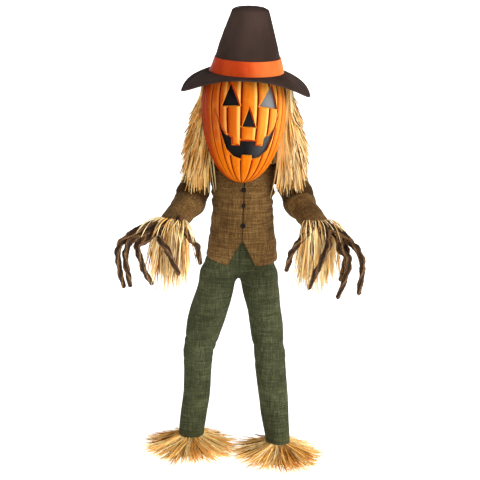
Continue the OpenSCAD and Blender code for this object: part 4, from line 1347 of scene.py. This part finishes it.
def black_cloth(name, tone, roughness, scale):
    """Fine black mesh; where its point attribute "pale" says so, it is painted paler grey as a
    painted reflection.
    """
    s = Shader(name, Roughness=roughness, Specular_IOR_Level=0.08)
    at = s.position()
    holes = s.node("TexVoronoi", {"Vector": at, "Scale": scale})["Distance"]
    cloud = s.noise(at, 30.0, 3)
    dark = s.mix(s.span(cloud, 0.3, 0.7), srgb(*tone), srgb(*(c + 12 for c in tone)))
    # painted reflection: the "pale" attribute mixes in a grey sheen
    s.colour(s.mix(s.read("pale")["Fac"], dark, srgb(132, 133, 135)))
    s.bump(holes, 0.5, 0.5)
    return s.material


LINER = black_cloth("black_mesh", (12, 12, 13), 0.5, 900.0)
HOOD = black_cloth("black_hood", (12, 11, 11), 0.85, 700.0)


def head_liner():
    """Thin mesh behind the openings, from the chin up to the hat; a painted reflection makes it paler
    at its upper left.
    """
    phi = np.linspace(-1.5, 1.5, 150)[None, :]
    a = egg_rows(phi, 110, -math.pi / 2 * 0.96, LINER_INSET)
    points = egg_point(phi, a, LINER_INSET, 0.6 * waves(egg_point(phi, a), 60, 12))
    obj = thickened(clean(grid_object("mask_liner_mesh", from_head(points), LINER)), 1.2)
    x, _, z = to_head(millimetres(obj)).T
    # painted reflection of the key light, strongest at the upper left
    return attribute(obj, "pale", ease((x + 4) / 74) * (0.28 + 0.6 * ease((z + 62) / 50)))


liner = head_liner()
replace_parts(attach(liner, "head"), "mask_liner")


def hood():
    """Stretch cloth over the back of the head, up into the hat, with a seam down its middle."""
    phi = np.linspace(math.pi / 2 - 0.02, 3 * math.pi / 2 + 0.02, 150)[None, :]
    a = egg_rows(phi, 90, -0.72)
    crease = 1.6 * waves(egg_point(phi, a) * (1, 1, 0.5), 55, 14)
    seam = -2.0 * bell((phi - math.pi) * MASK_R, 2.0)
    side = 3.0 * bell(np.minimum(phi - math.pi / 2, 3 * math.pi / 2 - phi), 0.3)
    points = egg_point(phi, a, HOOD_INSET, crease + seam + side)
    return thickened(clean(grid_object("hood", from_head(points), HOOD)), 2.0)


HOOD_PIECE = hood()
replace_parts(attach(HOOD_PIECE, "head"), "head_hood")


def head_foam():
    """The stuffing of the head and, under the hat, the cap over it."""
    phi = full_turn(96)[None, :]
    a = egg_rows(phi, 50, np.where(np.cos(phi) > 0, -1.45, -0.66), FOAM_INSET)
    egg = from_head(egg_point(phi, a, FOAM_INSET))
    height, radius = np.transpose([[-7, 110], [-2, 111], [20, 105], [45, 97], [64, 88], [72, 78],
                                   [77, 55], [78, 20]])[..., None]
    dome = from_hat(np.stack([radius * np.sin(phi), -radius * np.cos(phi), height + 0 * phi], -1))
    return loft("head_foam", np.concatenate([egg, dome]), FOAM)


FOAM_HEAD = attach(head_foam(), "head")
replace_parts(FOAM_HEAD, "head_core")


def head_cap():
    """Black cloth over the top of the foam and out to the roots of the hair."""
    section = [[0, 79.5], [40, 79.5], [70, 77], [84, 71], [93, 62], [102, 40], [109, 15],
               [113, -3], [126, -8], [134, -22], [132, -22], [124, -10], [111, -5], [107, 14],
               [100, 39], [91, 61], [83, 69], [70, 75.2], [40, 77.8], [0, 77.8]]

    def wobble(points):
        return points + unit(points) * (0.7 * waves(points, 50, 33))[..., None]

    return revolve("head_cap", section, 120, from_hat, HOOD, wobble=wobble)


CAP = head_cap()
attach(CAP, "head")


# ---------------------------------------------------------------- hat


def felt_material():
    """Brown felt: matt, with short fibres and broad soft lighter patches."""
    s = Shader("hat_felt", Roughness=0.9, Sheen_Weight=0.01, Specular_IOR_Level=0.02)
    at = s.position()
    fibre = s.noise(at, 900.0, 3, 0.7)
    broad = s.noise(s.stretched(at, (1, 1, 0.35)), 9.0, 2)
    tone = s.math("ADD", s.span(broad, 0.35, 0.65, 0.0, 0.7), s.span(fibre, 0.3, 0.7, -0.15, 0.3))
    s.colour(s.ramp(tone, [(0.0, srgb(48, 36, 31)), (1.0, srgb(80, 63, 57))]))
    s.bump(fibre, 0.5, 0.5)
    return s.material


FELT = felt_material()


def lean(points):
    """The crown leans a little towards +X, and most of that is low down."""
    up = np.clip(points[..., 2:], 0, CROWN_H) / CROWN_H
    return points + 5 * up**0.4 * vec(1, 0, 0)


def crown():
    """Blocked felt crown: straight tapered sides that lean a little, and a softly domed top."""
    side = [[CROWN_BASE_R + (CROWN_TOP_R - CROWN_BASE_R) * k, CROWN_H * k]
            for k in np.linspace(0.05, 0.97, 24)]
    inside = [[r - FELT_T, z] for r, z in reversed(side)]
    # steps in from the top radius and up from the top of the sides
    dome = [[0, 2], [1.5, 5], [6, 9], [15, 13], [30, 15.5], [CROWN_TOP_R, 16.5],
            [CROWN_TOP_R, 13.5], [30, 12.5], [15, 10], [8, 6], [FELT_T, 0]]
    section = [[CROWN_BASE_R - FELT_T, 0], [CROWN_BASE_R, 0], *side,
               *[[CROWN_TOP_R - r, CROWN_H + z] for r, z in dome], *inside]

    def wobble(points):
        z = points[..., 2]
        out = unit(points * (1, 1, 0) + 1e-9)
        free = ease((z - 30) / 60)
        buckle = 1.9 * waves(points * (1, 1, 0.55), 105, 8) + 0.7 * waves(points, 42, 9)
        a = np.arctan2(points[..., 1], points[..., 0])
        seam = -1.3 * bell((a - math.pi / 2) * 90, 2.0)
        return lean(points + out * (buckle * free + seam)[..., None])

    return revolve("crown", section, 200, from_hat, FELT, wobble=wobble)


BRIM_X, BRIM_Y, BRIM_DROOP, BRIM_IN = 209.0, 187.0, 69.0, CROWN_BASE_R - FELT_T - 1


def brim_surface(a, t):
    """Middle of the brim in the hat's frame, t of the way out at angle a."""
    roundness = np.where(np.sin(a) > 0, 2.8, 2.0)
    edge = (np.abs(np.cos(a) / BRIM_X) ** roundness
            + np.abs(np.sin(a) / BRIM_Y) ** roundness) ** (-1 / roundness)
    r = BRIM_IN + (edge - BRIM_IN) * t
    side = np.abs(np.cos(a))
    droop = BRIM_DROOP * side ** (2.5 - 0.2 * np.sin(a)) * t**1.7
    level = r[..., None] * around(a)
    wave = 1.5 * t * waves(level, 190, 17)
    return level + (-1.8 - droop + wave)[..., None] * (0, 0, 1)


def brim():
    """Felt brim with a bound, wired edge and rows of stitching beside it."""
    sides = 240
    a = full_turn(sides)[:, None]
    t_top = np.concatenate([np.linspace(0, 0.86, 22), np.linspace(0.87, 0.985, 18)])
    stitch = sum(0.55 * bell(t_top - at, 0.006) for at in (0.9, 0.925))
    bound = 0.8 * ease((t_top - 0.94) / 0.012)
    half = FELT_T / 2 + bound - stitch
    rise = half[:, None] * (0, 0, 1)
    upper = brim_surface(a, t_top[None]) + rise
    lower = brim_surface(a, t_top[None, ::-1]) - rise[::-1]
    nose = brim_surface(a, np.array([[1.0]]))
    lip = [nose + (0, 0, dz) for dz in (1.3, 0, -1.3)]
    ring = np.concatenate([upper, *lip, lower], 1)
    faces = ring_faces(*ring.shape[:2])
    return clean(new_object("brim", from_hat(ring).reshape(-1, 3), faces, FELT))


def satin_material():
    """Orange satin, red on the figure's right and lighter orange on its left: painted shade away from
    the key light and painted light on the lit side.
    """
    s = Shader("orange_satin", Roughness=0.5, Sheen_Weight=0.01, Specular_IOR_Level=0.03)
    at = s.position()
    thread = s.streaks(at, (90, 90, 2600), 2)
    crush = s.streaks(at, (22, 22, 9), 3)
    # painted light and shade: the colour runs with X from red on the figure's right to lighter orange
    # on its lit left
    turn = s.span(s.node("SeparateXYZ", {"Vector": at})["X"], -0.11, 0.12, 0.0, 0.75)
    fine = s.math("ADD", s.span(crush, 0.3, 0.7, -0.05, 0.2), s.span(thread, 0.3, 0.7, -0.04, 0.08))
    s.colour(s.ramp(s.math("ADD", turn, fine), [
        (0.0, srgb(156, 30, 6)), (0.4, srgb(216, 80, 32)), (0.9, srgb(232, 126, 58))]))
    s.bump(s.math("ADD", s.math("MULTIPLY", crush, 0.8), s.math("MULTIPLY", thread, 0.4)), 0.3, 1.2)
    return s.material


def band():
    """A satin ribbon round the crown, sewn together at the front."""
    width, t, gap, join = 46.0, 1.4, 0.6, 0.035
    slope = (CROWN_TOP_R - CROWN_BASE_R) / CROWN_H
    inner = [[CROWN_BASE_R + slope * h + gap, h] for h in np.linspace(0, width, 14)]
    outer = [[r + t, h] for r, h in reversed(inner)]

    def wobble(points):
        past_join = np.arctan2(points[..., 1], points[..., 0]) + math.pi / 2 - join
        groove = 0.5 * bell(past_join * CROWN_BASE_R, 1.5)
        lap = 0.9 * (past_join > 0) * bell(past_join * 6, 1)
        out = unit(points * (1, 1, 0))
        soft = 0.35 * waves(points * (1, 1, 0.4), 60, 18)
        return lean(points + out * (soft + gap + lap - groove)[..., None])

    return revolve("band", inner + outer, 220, from_hat, satin_material(), wobble=wobble)


for piece, node, slot in ((crown(), "hat_crown", "hat_felt"), (brim(), "hat_brim", "hat_felt"),
                          (band(), "hat_band", "orange_satin")):
    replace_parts(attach(piece, "hat"), node)


# ---------------------------------------------------------------- studio


FLOOR_GLOW, ROOM_LIGHT, KEY_LIGHT = 0.93, 0.08, 3.8


def studio():
    """A glowing white floor that sweeps up all round, a soft key from the right and a dim room."""
    pale = Shader("floor_paper", Roughness=0.9, Emission_Strength=FLOOR_GLOW)
    white = pale.mix(pale.noise(pale.position(), 3.0), srgb(246, 246, 245), srgb(249, 249, 248))
    pale.colour(white)
    pale.put(pale.main.inputs["Emission Color"], white)
    sweep_rows = ovals([[0, 0, 0, 1, 1], [0, 0, 0, 9e3, 9e3], [0, 0, 0, 18e3, 18e3],
                        [0, 0, 400, 19.4e3, 19.4e3], [0, 0, 1400, 20e3, 20e3],
                        [0, 0, 4200, 20.2e3, 20.2e3]], 96)
    floor = new_object("floor", sweep_rows.reshape(-1, 3), grid_faces(6, 96)[:, ::-1], pale.material)
    world = bpy.data.worlds.new("room")
    world.use_nodes = True
    world.node_tree.nodes["Background"].inputs["Color"].default_value = (1, 1, 1, 1)
    world.node_tree.nodes["Background"].inputs["Strength"].default_value = ROOM_LIGHT
    scene.world = world
    light = bpy.data.lights.new("key", "SUN")
    light.energy, light.angle = KEY_LIGHT, math.radians(50)
    lamp = bpy.data.objects.new("key", light)
    lamp.rotation_mode = "QUATERNION"
    lamp.rotation_quaternion = Vector((-0.88, 0.55, -0.5)).to_track_quat("-Z", "Y")
    scene.collection.objects.link(lamp)
    scene.view_settings.view_transform = "Standard"


def camera():
    """Eye height, looking down a little, with the slight roll of the view."""
    pitch, roll, away, height = math.radians(13.6), math.radians(2.2), 4000, 1720
    data = bpy.data.cameras.new("camera")
    data.sensor_width, data.lens = 36.0, 93.0
    eye = bpy.data.objects.new("camera", data)
    ahead = Vector((0, math.cos(pitch), -math.sin(pitch)))
    up = Vector((0, math.sin(pitch), math.cos(pitch)))
    right = Vector((1, 0, 0)) * math.cos(roll) + up * math.sin(roll)
    up = right.cross(ahead)
    turn = Matrix((right, up, -ahead)).transposed().to_4x4()
    eye.matrix_world = Matrix.Translation(metres((0, -away, height))) @ turn
    scene.collection.objects.link(eye)
    scene.camera = eye


studio()
camera()
